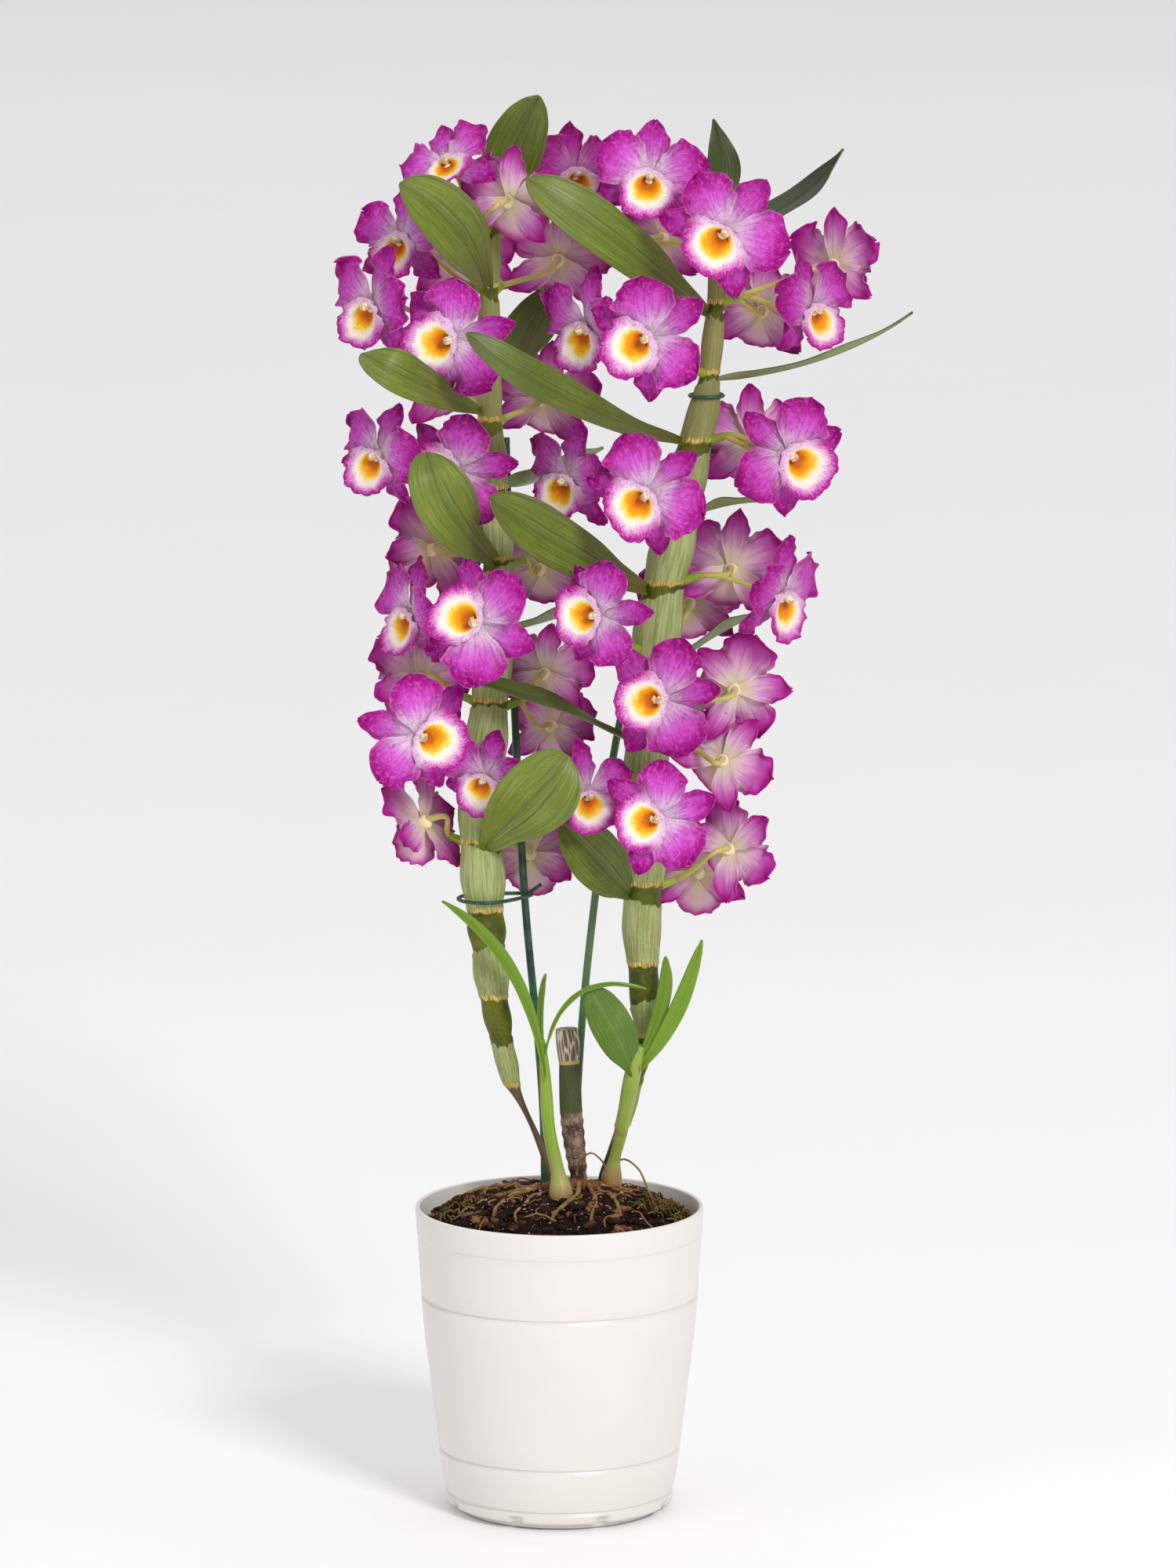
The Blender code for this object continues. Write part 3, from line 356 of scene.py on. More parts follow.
# Outlines of petals, sepals and leaves: share of the length, share of the half width
SEPAL_OUTLINE = (
    *((0, 0.36), (0.12, 0.5), (0.3, 0.8), (0.5, 1.0), (0.7, 0.93)),
    *((0.86, 0.62), (0.95, 0.34), (1.0, 0.1)),
)
PETAL_OUTLINE = (
    *((0, 0.2), (0.1, 0.32), (0.25, 0.64), (0.45, 0.93), (0.6, 1.0)),
    *((0.75, 0.9), (0.88, 0.62), (0.96, 0.32), (1.0, 0.06)),
)
LEAF_OUTLINE = (
    *((0.0, 0.2), (0.12, 0.42), (0.3, 0.82), (0.52, 1.0), (0.75, 0.9)),
    *((0.9, 0.6), (0.97, 0.3), (1.0, 0.05)),
)
POINTED_OUTLINE = ((0.0, 0.3), (0.15, 0.72), (0.35, 1.0), (0.6, 0.84), (0.8, 0.48), (0.92, 0.2), (1.0, 0.03))
POINTED = ("leaf_right_top", "leaf_right_14", "leaf_right_12", "leaf_left_10", "leaf_left_8", "leaf_right_10")
LEAF_SIZE = (44, 15)

# How far a petal's, a sepal's and the lip's middle line stands forward, by the share of the length
SEPAL_HEIGHTS = ((0, 0.4), (0.2, -0.6), (0.5, -1.2), (0.8, -2.0), (1.0, -3.6))
PETAL_HEIGHTS = ((0, 0.9), (0.2, 2.2), (0.45, 3.2), (0.8, 2.4), (1.0, 0.8))
LIP_HEIGHTS = ((0, 1.2), (0.12, 1.8), (0.3, 3.2), (0.5, 4.6), (0.7, 5.7), (0.86, 6.1), (1.0, 5.6))

# Sepals and petals: angles round the bloom, length, which width, outline, heights, share of the
# ruffle, cup
TEPALS = (
    ((90, 215, 325), 26.0, "sepal_width", SEPAL_OUTLINE, SEPAL_HEIGHTS, 0.5, -0.12),
    ((24, 156), 26.0, "petal_width", PETAL_OUTLINE, PETAL_HEIGHTS, 1.0, -0.06),
)
TEPAL_SIZE = (24, 15)
HUB_REACH = 1.2

# Lip: share of its radius and drop of its middle, by the share of the way out; then the column's
# spots up, forward and radius, and the radii of the chin behind it
LIP_REACH = ((0, 0.06), (0.12, 0.16), (0.3, 0.34), (0.5, 0.53), (0.7, 0.72), (0.86, 0.88), (1.0, 1.0))
LIP_DROP = ((0, -1.2), (0.3, -3.6), (0.6, -6.0), (1.0, -7.2))
LIP_SIZE = (18, 56)
COLUMN = (
    *((0.6, 0.5, 1.7), (0.4, 2.4, 1.8), (0.0, 4.2, 1.8)),
    *((-0.6, 5.6, 1.6), (-1.1, 6.5, 1.2), (-1.4, 6.9, 0.5)),
)
CHIN_RADII = (3.0, 3.2, 3.1, 2.9, 2.6, 2.2, 1.6, 0.7)
SPRAY_SEED = 100
BLOOM_MATERIALS = ("petal_front", "petal_back", "lip_inside", "lip_outside", "column_skin", "stalk_skin")

# Stage: the floor in millimetres, then camera and lights in metres
FLOOR_HALF = 18000
FLOOR_DROP = 0.4
CAMERA_SPOT = (0.0119, -3.2, 0.83)
CAMERA_PITCH = 9.3
CAMERA_LENS = 180.08
CAMERA_SENSOR = 36.0
WORLD_STRENGTH = 0.4
LIGHTS = (
    ("key", (1.4, -2.7, 2.0), (0, 0, 0.36), 0.8, 62.0),
    ("fill", (-2.2, -2.0, 0.9), (0, 0, 0.3), 1.6, 10.0),
    ("sky", (0.0, 5.0, 7.0), (0, 5.0, 0), 18.0, 640.0),
)

# Meshes: length of the UV map for a millimetre of stem, and size of a closed end
UV_PER_MM = 0.01
CLOSED_END = 0.02


def linear(colour):
    """A colour in 0 to 255 steps, as the shader's linear values."""
    found = []
    for step in colour:
        share = step / 255.0
        found.append(share / 12.92 if share <= 0.04045 else ((share + 0.055) / 1.055) ** 2.4)
    return (*found, 1.0)


def colour_choice(name, colour, words):
    """A colour setting with its default."""
    return bpy.props.FloatVectorProperty(
        name=name, description=words, subtype="COLOR", size=4, min=0.0, max=1.0, default=linear(colour)
    )


class OrchidLooks(bpy.types.PropertyGroup):
    """Sizes and colours that a user may change before building the pieces."""

    petal_width: bpy.props.FloatProperty(
        name="Petal width", description="Width of the two broad petals", default=0.025, unit="LENGTH"
    )
    sepal_width: bpy.props.FloatProperty(
        name="Sepal width", description="Width of the three sepals", default=0.0138, unit="LENGTH"
    )
    lip_radius: bpy.props.FloatProperty(
        name="Lip radius", description="Radius of the round ruffled lip", default=0.0134, unit="LENGTH"
    )
    petal_ruffle: bpy.props.FloatProperty(
        name="Petal ruffle", description="Height of waves at a petal's edge", default=0.0024, unit="LENGTH"
    )
    petal_thickness: bpy.props.FloatProperty(
        name="Petal thickness", description="Thickness of petals and sepals", default=0.0005, unit="LENGTH"
    )
    leaf_thickness: bpy.props.FloatProperty(
        name="Leaf thickness", description="Thickness of the leaf blades", default=0.0009, unit="LENGTH"
    )
    bark_pieces: bpy.props.IntProperty(
        name="Bark pieces", description="Loose bits lying on the mix", default=1900, min=0, max=4000
    )
    magenta: colour_choice("Petal edge", (176, 10, 140), "Colour of petal edges and tips")
    lilac: colour_choice("Petal middle", (220, 80, 210), "Colour of the middle of a petal")
    petal_white: colour_choice("Petal base", (252, 236, 250), "Colour at the heart of the bloom")
    throat_yellow: colour_choice("Throat", (255, 168, 8), "Colour of the patch in the lip")
    # Leaves are painted from leaf_dark towards leaf_green as the tone mark paints them more lit
    leaf_green: colour_choice("Leaf", (106, 125, 25), "Main colour of the leaves")
    leaf_dark: colour_choice("Leaf shade", (64, 80, 14), "Dark tone of the leaves")
    shoot_green: colour_choice("Young growth", (118, 154, 22), "Colour of the young shoots")
    sheath: colour_choice("Sheath", (166, 176, 116), "Colour of the papery sheaths")
    cane_olive: colour_choice("Bare cane", (56, 64, 0), "Colour of the cane between its sheaths")
    pot_white: colour_choice("Pot", (231, 226, 222), "Colour of the pot")
    mix_brown: colour_choice("Mix", (34, 18, 12), "Colour of the potting mix")


def looks():
    """The chosen sizes and colours."""
    return bpy.context.scene.orchid_looks


# Mesh helpers


def curve_at(keys, t):
    """Smooth values at t between keys given as (share, value)."""
    x = np.array([key[0] for key in keys], float)
    y = np.array([key[1] for key in keys], float)
    slope = np.gradient(y, x)
    t = np.clip(np.asarray(t, float), x[0], x[-1])
    index = np.clip(np.searchsorted(x, t, side="right") - 1, 0, len(x) - 2)
    width = x[index + 1] - x[index]
    u = (t - x[index]) / width
    a = (1 + 2 * u) * (1 - u) ** 2
    b = u * (1 - u) ** 2
    c = u * u * (3 - 2 * u)
    d = u * u * (u - 1)
    return a * y[index] + b * width * slope[index] + c * y[index + 1] + d * width * slope[index + 1]


def ease(low, high, value):
    """A soft step from 0 at low to 1 at high."""
    u = np.clip((value - low) / (high - low), 0.0, 1.0)
    return u * u * (3 - 2 * u)


def bell(value, width):
    """A smooth hump of height 1 around 0."""
    return np.exp(-((value / width) ** 2))


def unit(vectors):
    """The vectors at length 1."""
    length = np.linalg.norm(vectors, axis=-1, keepdims=True)
    return vectors / np.maximum(length, 1e-9)


def doubled_ends(values):
    """The values with the first and the last one twice."""
    return np.concatenate([values[:1], values, values[-1:]])


class Shape:
    """Gathers the patches of one piece, in millimetres, and makes its mesh."""

    def __init__(self):
        self.points = []
        self.faces = []
        self.corners = []
        self.slots = []
        self.marks = {"tone": [], "mark": [], "ring": []}
        self.count = 0

    def patch(self, grid, uv, slot, wrap=False, flip=False, tone=0.5, mark=0.0, ring=0.0):
        """A grid of points with its own UV grid; a wrapped one closes on itself across the columns."""
        rows, columns = grid.shape[:2]
        wide = columns if wrap else columns - 1
        row, column = np.meshgrid(np.arange(rows - 1), np.arange(wide), indexing="ij")
        after = (column + 1) % columns
        here = row * columns
        quads = np.stack(
            [here + column, here + after, here + columns + after, here + columns + column], axis=-1
        ).reshape(-1, 4)
        corner = np.stack(
            [uv[row, column], uv[row, column + 1], uv[row + 1, column + 1], uv[row + 1, column]], axis=2
        ).reshape(-1, 4, 2)
        if flip:
            quads = quads[:, ::-1]
            corner = corner[:, ::-1]
        self.faces.append(quads + self.count)
        self.corners.append(corner)
        self.slots.append(np.full(len(quads), slot))
        self.points.append(grid.reshape(-1, 3))
        for name, value in (("tone", tone), ("mark", mark), ("ring", ring)):
            self.marks[name].append(np.broadcast_to(value, (rows, columns)).reshape(-1))
        self.count += rows * columns

    def blade(self, grid, uv, thickness, slots, wrap=False, **marks):
        """A thin closed blade: an upper face, a lower face and the edge between them."""
        across = np.roll(grid, -1, 1) - np.roll(grid, 1, 1) if wrap else np.gradient(grid, axis=1)
        normal = unit(np.cross(across, np.gradient(grid, axis=0)))
        half = normal * np.asarray(thickness)[..., None] * 0.5
        top, low = grid + half, grid - half
        self.patch(top, uv, slots[0], wrap, **marks)
        self.patch(low, uv, slots[1], wrap, flip=True, **marks)
        plain = {name: value for name, value in marks.items() if np.ndim(value) == 0}
        for line, side, mirrored in ((0, 0, False), (-1, 0, True), (0, 1, True), (-1, 1, False)):
            if side == 1 and wrap:
                continue
            first = top[line] if side == 0 else top[:, line]
            second = low[line] if side == 0 else low[:, line]
            texture = uv[line] if side == 0 else uv[:, line]
            edge, texture = np.stack([second, first]), np.stack([texture, texture])
            self.patch(edge, texture, slots[2], wrap and side == 0, flip=mirrored, **plain)

    def tube(self, line, radii, sides, slot, **marks):
        """A round stalk along a line of points, closed to a point at both ends."""
        line = np.asarray(line, float)
        ahead = unit(np.gradient(line, axis=0))
        up = np.zeros_like(line)
        start = np.array([0.0, 0.0, 1.0]) if abs(ahead[0][2]) < 0.9 else np.array([1.0, 0.0, 0.0])
        up[0] = unit(start - ahead[0] * np.dot(start, ahead[0]))
        for index in range(1, len(line)):
            turned = up[index - 1] - ahead[index] * np.dot(up[index - 1], ahead[index])
            up[index] = unit(turned)
        right = np.cross(ahead, up)
        angle = np.arange(sides) * math.tau / sides
        radii = np.broadcast_to(np.asarray(radii, float), (len(line),))
        ring = right[:, None] * np.cos(angle)[None, :, None] - up[:, None] * np.sin(angle)[None, :, None]
        grid = line[:, None] + ring * radii[:, None, None]
        start = line[:1, None] + (grid[:1] - line[:1, None]) * CLOSED_END
        end = line[-1:, None] + (grid[-1:] - line[-1:, None]) * CLOSED_END
        grid = np.concatenate([start, grid, end])
        length = np.concatenate([[0], np.cumsum(np.linalg.norm(np.diff(line, axis=0), axis=1))])
        u, v = np.meshgrid(np.arange(sides + 1) / sides, doubled_ends(length) * UV_PER_MM)
        for name, value in marks.items():
            if np.ndim(value) == 1:
                marks[name] = doubled_ends(value)[:, None]
        self.patch(grid, np.stack([u, v], -1), slot, wrap=True, **marks)

    def make(self, name, materials):
        """The mesh in metres, with its UV map, its marks and its materials."""
        mesh = bpy.data.meshes.new(name)
        points = np.concatenate(self.points) * MM
        faces = np.concatenate(self.faces)
        mesh.vertices.add(len(points))
        mesh.vertices.foreach_set("co", points.astype(np.float32).ravel())
        mesh.loops.add(len(faces) * 4)
        mesh.loops.foreach_set("vertex_index", faces.astype(np.int32).ravel())
        mesh.polygons.add(len(faces))
        mesh.polygons.foreach_set("loop_start", np.arange(len(faces), dtype=np.int32) * 4)
        mesh.polygons.foreach_set("material_index", np.concatenate(self.slots).astype(np.int32))
        mesh.update(calc_edges=True)
        layer = mesh.uv_layers.new(name="UVMap")
        layer.data.foreach_set("uv", np.concatenate(self.corners).astype(np.float32).ravel())
        for mark, parts in self.marks.items():
            spread = mesh.attributes.new(mark, "FLOAT", "POINT")
            spread.data.foreach_set("value", np.concatenate(parts).astype(np.float32))
        for material in materials:
            mesh.materials.append(material)
        mesh.shade_smooth()
        return mesh


def link(name, data):
    """A new object in the scene."""
    obj = bpy.data.objects.new(name, data)
    bpy.context.scene.collection.objects.link(obj)
    return obj


def place_piece(shape, name, slot, node, *materials):
    """Makes the piece, ties it to the body and lets it stand for its node."""
    obj = link(name, shape.make(name, get(*materials)))
    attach(obj, "root")
    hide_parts(node)


def smooth_line(points, steps):
    """A smooth line through the points, with even steps along it."""
    points = np.asarray(points, float)
    span = np.concatenate([[0], np.cumsum(np.linalg.norm(np.diff(points[:, :3], axis=0), axis=1))])
    t = np.linspace(0, span[-1], steps)
    keys = [list(zip(span, points[:, axis])) for axis in range(points.shape[1])]
    return np.stack([curve_at(key, t) for key in keys], axis=-1)


# Placing


def side(azimuth):
    """The level direction of an azimuth, 0 at the front and 90 to the right."""
    angle = math.radians(azimuth)
    return np.array([math.sin(angle), -math.cos(angle), 0.0])


def line_at(points, z):
    """Centre and radius of a cane at height z."""
    for low, high in zip(points, points[1:]):
        if z <= high[2]:
            part = (z - low[2]) / (high[2] - low[2])
            return [a + (b - a) * part for a, b in zip(low, high)]
    return list(points[-1])


def cane_rings(points, nodes):
    """Centre line with a pinch at each node and a swelling between nodes."""
    rings = [tuple(point) for point in points if point[2] < nodes[0]]
    for low, high in zip(nodes, nodes[1:]):
        x, y, z, radius = line_at(points, low)
        rings.append((x, y, z, radius * NODE_PINCH))
        x, y, z, radius = line_at(points, low + (high - low) * 0.45)
        rings.append((x, y, z, radius * INTERNODE_SWELL))
    x, y, z, radius = line_at(points, nodes[-1])
    rings.append((x, y, z, radius * NODE_PINCH))
    rings.append(tuple(points[-1]))
    return rings


def on_cane(cane, z, azimuth, clear):
    """A point off the cane's surface at height z."""
    points, nodes = CANES[cane]
    x, y, _, radius = line_at(cane_rings(points, nodes), z)
    return np.array([x, y, z]) + side(azimuth) * (radius + clear)


def bend(start, middle, end, t):
    """A curve that starts at start, passes middle half way and ends at end."""
    control = middle * 2.0 - (start + end) * 0.5
    return start * (1 - t) ** 2 + control * (2 * t * (1 - t)) + end * t**2


def bloom_frame(azimuth, elevation, roll):
    """Right, up and forward directions of a bloom."""
    level = Vector(side(azimuth))
    lift = math.radians(elevation)
    forward = level * math.cos(lift) + Vector((0, 0, math.sin(lift)))
    up = Vector((0, 0, 1.0)) - forward * forward.z
    up.normalize()
    up = Matrix.Rotation(math.radians(roll), 3, forward) @ up
    return tuple(np.array(row) for row in (up.cross(forward), up, forward))


# Paints


# Colours in 0 to 255 steps; those that a user may change are in OrchidLooks
PAINTS = {
    "petal_haze": (214, 150, 222),
    "petal_vein": (136, 14, 112),
    "petal_gleam": (244, 150, 238),
    "petal_grain_light": (236, 112, 222),
    "petal_grain_dark": (144, 8, 112),
    "petal_shadow": (176, 70, 150),
    "petal_rim": (226, 120, 190),
    "back_lilac": (212, 104, 198),
    "back_magenta": (176, 20, 142),
    "back_blush": (240, 200, 228),
    "back_cream": (240, 234, 196),
    "back_rib": (236, 222, 190),
    "back_vein": (160, 40, 136),
    "back_shadow": (190, 120, 170),
    "throat_orange": (238, 128, 0),
    "throat_spot": (126, 34, 26),
    "throat_smear": (176, 70, 10),
    "throat_edge": (255, 222, 70),
    "lip_halo": (255, 246, 230),
    "lip_pink": (226, 140, 214),
    "lip_pale": (246, 214, 240),
    "lip_ray": (140, 16, 116),
    "lip_gleam": (236, 150, 226),
    "lip_shadow": (206, 130, 170),
    "lip_back_cream": (244, 230, 182),
    "lip_back_blush": (240, 196, 212),
    "lip_back_magenta": (196, 60, 160),
    "column_green": (206, 206, 140),
    "column_cream": (240, 226, 186),
    "column_cap": (190, 120, 120),
    "column_speck": (170, 110, 80),
    "stalk_green": (132, 160, 30),
    "stalk_yellow": (196, 184, 96),
    "stalk_cream": (214, 196, 140),
    "stalk_mottle": (172, 120, 70),
    "leaf_blotch": (130, 140, 40),
    "leaf_crease": (66, 68, 24),
    "leaf_vein": (66, 84, 30),
    "leaf_grain_light": (142, 154, 74),
    "leaf_grain_dark": (74, 88, 24),
    "leaf_rib": (60, 78, 24),
    "leaf_purple": (104, 78, 58),
    "leaf_shadow": (128, 140, 112),
    "under_green": (116, 138, 76),
    "under_pale": (152, 168, 108),
    "under_vein": (92, 112, 58),
    "under_purple": (120, 92, 70),
    "cane_yellow": (104, 110, 10),
    "cane_hair": (48, 58, 14),
    "cane_foot": (112, 88, 66),
    "sheath_green": (138, 152, 84),
    "sheath_hair": (214, 214, 176),
    "sheath_top": (128, 124, 66),
    "sheath_brown": (128, 108, 74),
    "fringe_brown": (150, 112, 30),
    "fringe_straw": (226, 206, 120),
    "stub_dark": (44, 56, 22),
    "stub_green": (88, 100, 48),
    "stub_paper": (124, 100, 80),
    "stub_net": (222, 210, 188),
    "stub_foot_dark": (62, 42, 32),
    "stub_foot": (158, 130, 108),
    "stub_fringe": (204, 176, 104),
    "shoot_stripe": (146, 172, 60),
    "shoot_pale": (170, 168, 96),
    "shoot_base": (156, 120, 74),
    "young_leaf_dark": (84, 112, 30),
    "young_leaf_blotch": (136, 166, 60),
    "young_leaf_vein": (70, 112, 30),
    "young_leaf_rib": (96, 138, 40),
    "root_tan": (132, 108, 60),
    "root_brown": (146, 92, 52),
    "root_pale": (180, 152, 104),
    "root_dark": (84, 54, 32),
    "root_tip": (104, 68, 40),
    "mix_dark": (24, 12, 9),
    "mix_crumb": (90, 52, 36),
    "mix_speck": (186, 150, 130),
    "bark_black": (15, 7, 5),
    "bark_brown": (50, 25, 16),
    "bark_tan": (140, 98, 66),
    "bark_pale": (226, 196, 184),
    "bark_crumb": (60, 34, 24),
    "coir": (150, 116, 66),
    "moss": (82, 74, 26),
    "fibre_brown": (94, 60, 36),
    "pot_tone": (227, 222, 217),
    "pot_foot_tint": (222, 215, 207),
    "wire_dark": (16, 44, 34),
    "wire_green": (48, 92, 66),
    "wire_faded": (96, 128, 84),
    "floor_white": (252, 252, 252),
    "floor_shade": (248, 248, 248),
}


def paint(colour):
    """A paint's linear colour by its name; a socket comes back as it is."""
    if not isinstance(colour, str):
        return colour
    return linear(PAINTS[colour]) if colour in PAINTS else getattr(looks(), colour)


# Shader helpers


class Shader:
    """Short calls for laying out a material's or a group's nodes."""

    def __init__(self, tree):
        self.tree = tree
        self.tree.nodes.clear()

    def node(self, kind, values=None, **settings):
        prefix = "Node" if kind in ("GroupInput", "GroupOutput") else "ShaderNode"
        node = self.tree.nodes.new(prefix + kind)
        for name, value in settings.items():
            setattr(node, name, value)
        for name, value in (values or {}).items():
            self.set(node.inputs[name], value)
        return node

    def set(self, socket, value):
        if isinstance(value, bpy.types.NodeSocket):
            self.tree.links.new(value, socket)
        else:
            socket.default_value = value

    def maths(self, operation, first, second=0.0, clamp=False):
        return self.node("Math", {0: first, 1: second}, operation=operation, use_clamp=clamp).outputs[0]

    def plus(self, first, second, clamp=False):
        return self.maths("ADD", first, second, clamp)

    def minus(self, first, second):
        return self.maths("SUBTRACT", first, second)

    def times(self, first, second):
        return self.maths("MULTIPLY", first, second)

    def spread(self, value, width):
        """A value around a half, turned into one around zero of this width."""
        return self.times(self.minus(value, 0.5), width)

    def coat(self, under, mask, over, strength=1.0, blend="MIX"):
        """One paint over another where the mask is, each given by name or as a socket."""
        node = self.node("Mix", data_type="RGBA", blend_type=blend)
        self.set(node.inputs[0], mask if strength == 1.0 else self.times(mask, strength))
        self.set(node.inputs[6], paint(under))
        self.set(node.inputs[7], paint(over))
        return node.outputs[2]

    def coats(self, colour, *rows):
        """Coats laid over a colour in turn, each given as mask, paint, strength and blend."""
        for row in rows:
            colour = self.coat(colour, *row)
        return colour

    def step(self, value, low, high):
        """A soft step from 0 at low to 1 at high."""
        values = {"Value": value, "From Min": low, "From Max": high}
        return self.node("MapRange", values, interpolation_type="SMOOTHSTEP").outputs[0]

    def gloss(self, value, low, high):
        """Roughness that runs from low to high with the value."""
        return self.node("MapRange", {"Value": value, "To Min": low, "To Max": high}).outputs[0]

    def noise(self, scale, detail=3.0, vector=None, rough=0.5):
        node = self.node("TexNoise", {"Scale": scale, "Detail": detail, "Roughness": rough})
        self.set(node.inputs["Vector"], vector or self.node("TexCoord").outputs["Object"])
        return node.outputs["Fac"]

    def uv(self):
        return self.node("UVMap", uv_map="UVMap").outputs[0]

    def split(self, vector):
        return self.node("SeparateXYZ", {0: vector}).outputs

    def stretch(self, across, along):
        """The UV map, stretched by these factors."""
        return self.node("Mapping", {"Vector": self.uv(), "Scale": (across, along, 1.0)}).outputs[0]

    def streaks(self, across, along, detail=3.0, rough=0.6):
        """Uneven streaks that run out along a blade or up a stem."""
        return self.noise(1.0, detail, self.stretch(across, along), rough)

    def mark(self, name):
        return self.node("Attribute", attribute_name=name).outputs["Fac"]

    def bump(self, height, distance, strength):
        """A normal raised by the height, over a distance in metres."""
        values = {"Height": height, "Distance": distance, "Strength": strength}
        return self.node("Bump", values).outputs["Normal"]

    def group(self, name, **values):
        node = self.node("Group", node_tree=bpy.data.node_groups[name])
        for key, value in values.items():
            self.set(node.inputs[key.capitalize()], value)
        return node.outputs

    def mottle(self, scale, **values):
        return self.group("Mottle", scale=scale, **values)["Value"]


def new_group(name, inputs, outputs):
    """An empty node group with number sockets: inputs as name and default, outputs as names."""
    tree = bpy.data.node_groups.new(name, "ShaderNodeTree")
    for label, default in inputs.items():
        socket = tree.interface.new_socket(name=label, in_out="INPUT", socket_type="NodeSocketFloat")
        socket.default_value = default
    for label in outputs:
        tree.interface.new_socket(name=label, in_out="OUTPUT", socket_type="NodeSocketFloat")
    shader = Shader(tree)
    return shader, shader.node("GroupInput").outputs, shader.node("GroupOutput").inputs


def make_veins_group():
    """Fine lines that run along a blade, and its middle rib, from the UV map."""
    shader, given, result = new_group("Blade veins", {"Lines": 16.0, "Waviness": 0.6}, ("Veins", "Rib"))
    uv = shader.uv()
    place = shader.split(uv)
    sway = shader.times(shader.minus(shader.noise(5.0, 2.0, uv), 0.5), given["Waviness"])
    across = shader.plus(shader.times(place[0], given["Lines"]), sway)
    wave = shader.maths("SINE", shader.times(across, math.tau))
    shader.set(result["Veins"], shader.step(wave, 0.2, 1.0))
    centre = shader.maths("ABSOLUTE", shader.minus(place[0], 0.5))
    shader.set(result["Rib"], shader.step(centre, 0.05, 0.0))


def make_mottle_group():
    """Slow and fine blotches in one value around a half, from the object's place."""
    shader, given, result = new_group("Mottle", {"Scale": 100.0, "Fine": 0.35}, ("Value",))
    slow = shader.noise(given["Scale"], 2.0)
    fine = shader.noise(shader.times(given["Scale"], 7.0), 3.0)
    node = shader.node("Mix", {0: given["Fine"], 2: slow, 3: fine}, data_type="FLOAT")
    shader.set(result["Value"], node.outputs[0])


def make_petal_group():
    """How far a spot of a petal is from its base and its edge, from the UV map."""
    shader, given, result = new_group("Petal place", {"Unevenness": 0.12}, ("Along", "Edge", "Across"))
    place = shader.split(shader.uv())
    across = shader.times(shader.maths("ABSOLUTE", shader.minus(place[0], 0.5)), 2.0)
    uneven = shader.times(shader.minus(shader.noise(90.0, 3.0), 0.5), given["Unevenness"])
    shader.set(result["Along"], shader.plus(place[1], uneven))
    rounded = shader.maths("POWER", place[1], 3.0)
    edge = shader.maths("MAXIMUM", shader.maths("POWER", across, 2.0), rounded)
    shader.set(result["Edge"], shader.plus(edge, uneven))
    shader.set(result["Across"], across)


# Materials: each function lays out its nodes and returns the sockets of colour and normal, and of
# roughness where that changes over the surface


def petal_front(shader):
    """White at the heart, lilac, then magenta to the edge, with fine broken streaks; the tone mark paints
    shade over a bloom.
    """
    place = shader.group("Petal place")
    broad, fine = shader.streaks(16.0, 1.6), shader.streaks(48.0, 4.0)
    blotch, grain = shader.noise(120.0, 2.0), shader.noise(620.0, 3.0)
    bleed = shader.spread(broad, 0.55)
    along = shader.plus(place["Along"], bleed)
    edge = shader.plus(place["Edge"], shader.times(bleed, 0.8))
    veins = shader.times(shader.step(fine, 0.52, 0.7), shader.step(place["Along"], 0.08, 0.5))
    gleam = shader.times(shader.step(fine, 0.45, 0.3), shader.step(along, 1.0, 0.4))
    colour = shader.coats(
        "lilac",
        (shader.step(edge, 0.0, 0.68), "magenta"),
        (shader.step(blotch, 0.45, 0.7), "lilac", 0.2),
        (shader.step(along, 0.7, 0.3), "petal_haze", 0.5),
        (shader.step(along, 0.46, 0.08), "petal_white", 0.9),
        (veins, "petal_vein", 0.38),
        (gleam, "petal_gleam", 0.3),
        (shader.step(grain, 0.5, 0.68), "petal_grain_light", 0.4),
        (shader.step(grain, 0.5, 0.34), "petal_grain_dark", 0.3),
        # Painted shade: the tone mark darkens blooms further back with petal_shadow
        (shader.mark("tone"), "petal_shadow", 0.75, "MULTIPLY"),
        (shader.step(place["Across"], 0.93, 1.0), "petal_rim", 0.4),
    )
    height = shader.plus(shader.plus(fine, shader.times(broad, 1.4)), shader.noise(260.0, 3.0))
    return {"Base Color": colour, "Normal": shader.bump(height, 0.0008, 0.8)}


def petal_back(shader):
    """Paler than the front, with a cream heart and middle rib."""
    place = shader.group("Petal place")
    broad, fine = shader.streaks(14.0, 1.4), shader.streaks(44.0, 4.0)
    along = shader.plus(place["Along"], shader.spread(broad, 0.7))
    rib = shader.times(shader.step(place["Across"], 0.16, 0.02), shader.step(place["Along"], 0.8, 0.3))
    colour = shader.coats(
        "back_lilac",
        (shader.step(place["Edge"], 0.1, 0.8), "back_magenta"),
        (shader.step(along, 0.72, 0.2), "back_blush"),
        (shader.step(along, 0.4, 0.05), "back_cream"),
        (rib, "back_rib", 0.5),
        (shader.step(fine, 0.52, 0.7), "back_vein", 0.35),
        # Painted shade: the tone mark darkens the backs of blooms further back
        (shader.mark("tone"), "back_shadow", 0.3, "MULTIPLY"),
    )
    return {"Base Color": colour, "Normal": shader.bump(fine, 0.0004, 0.5)}


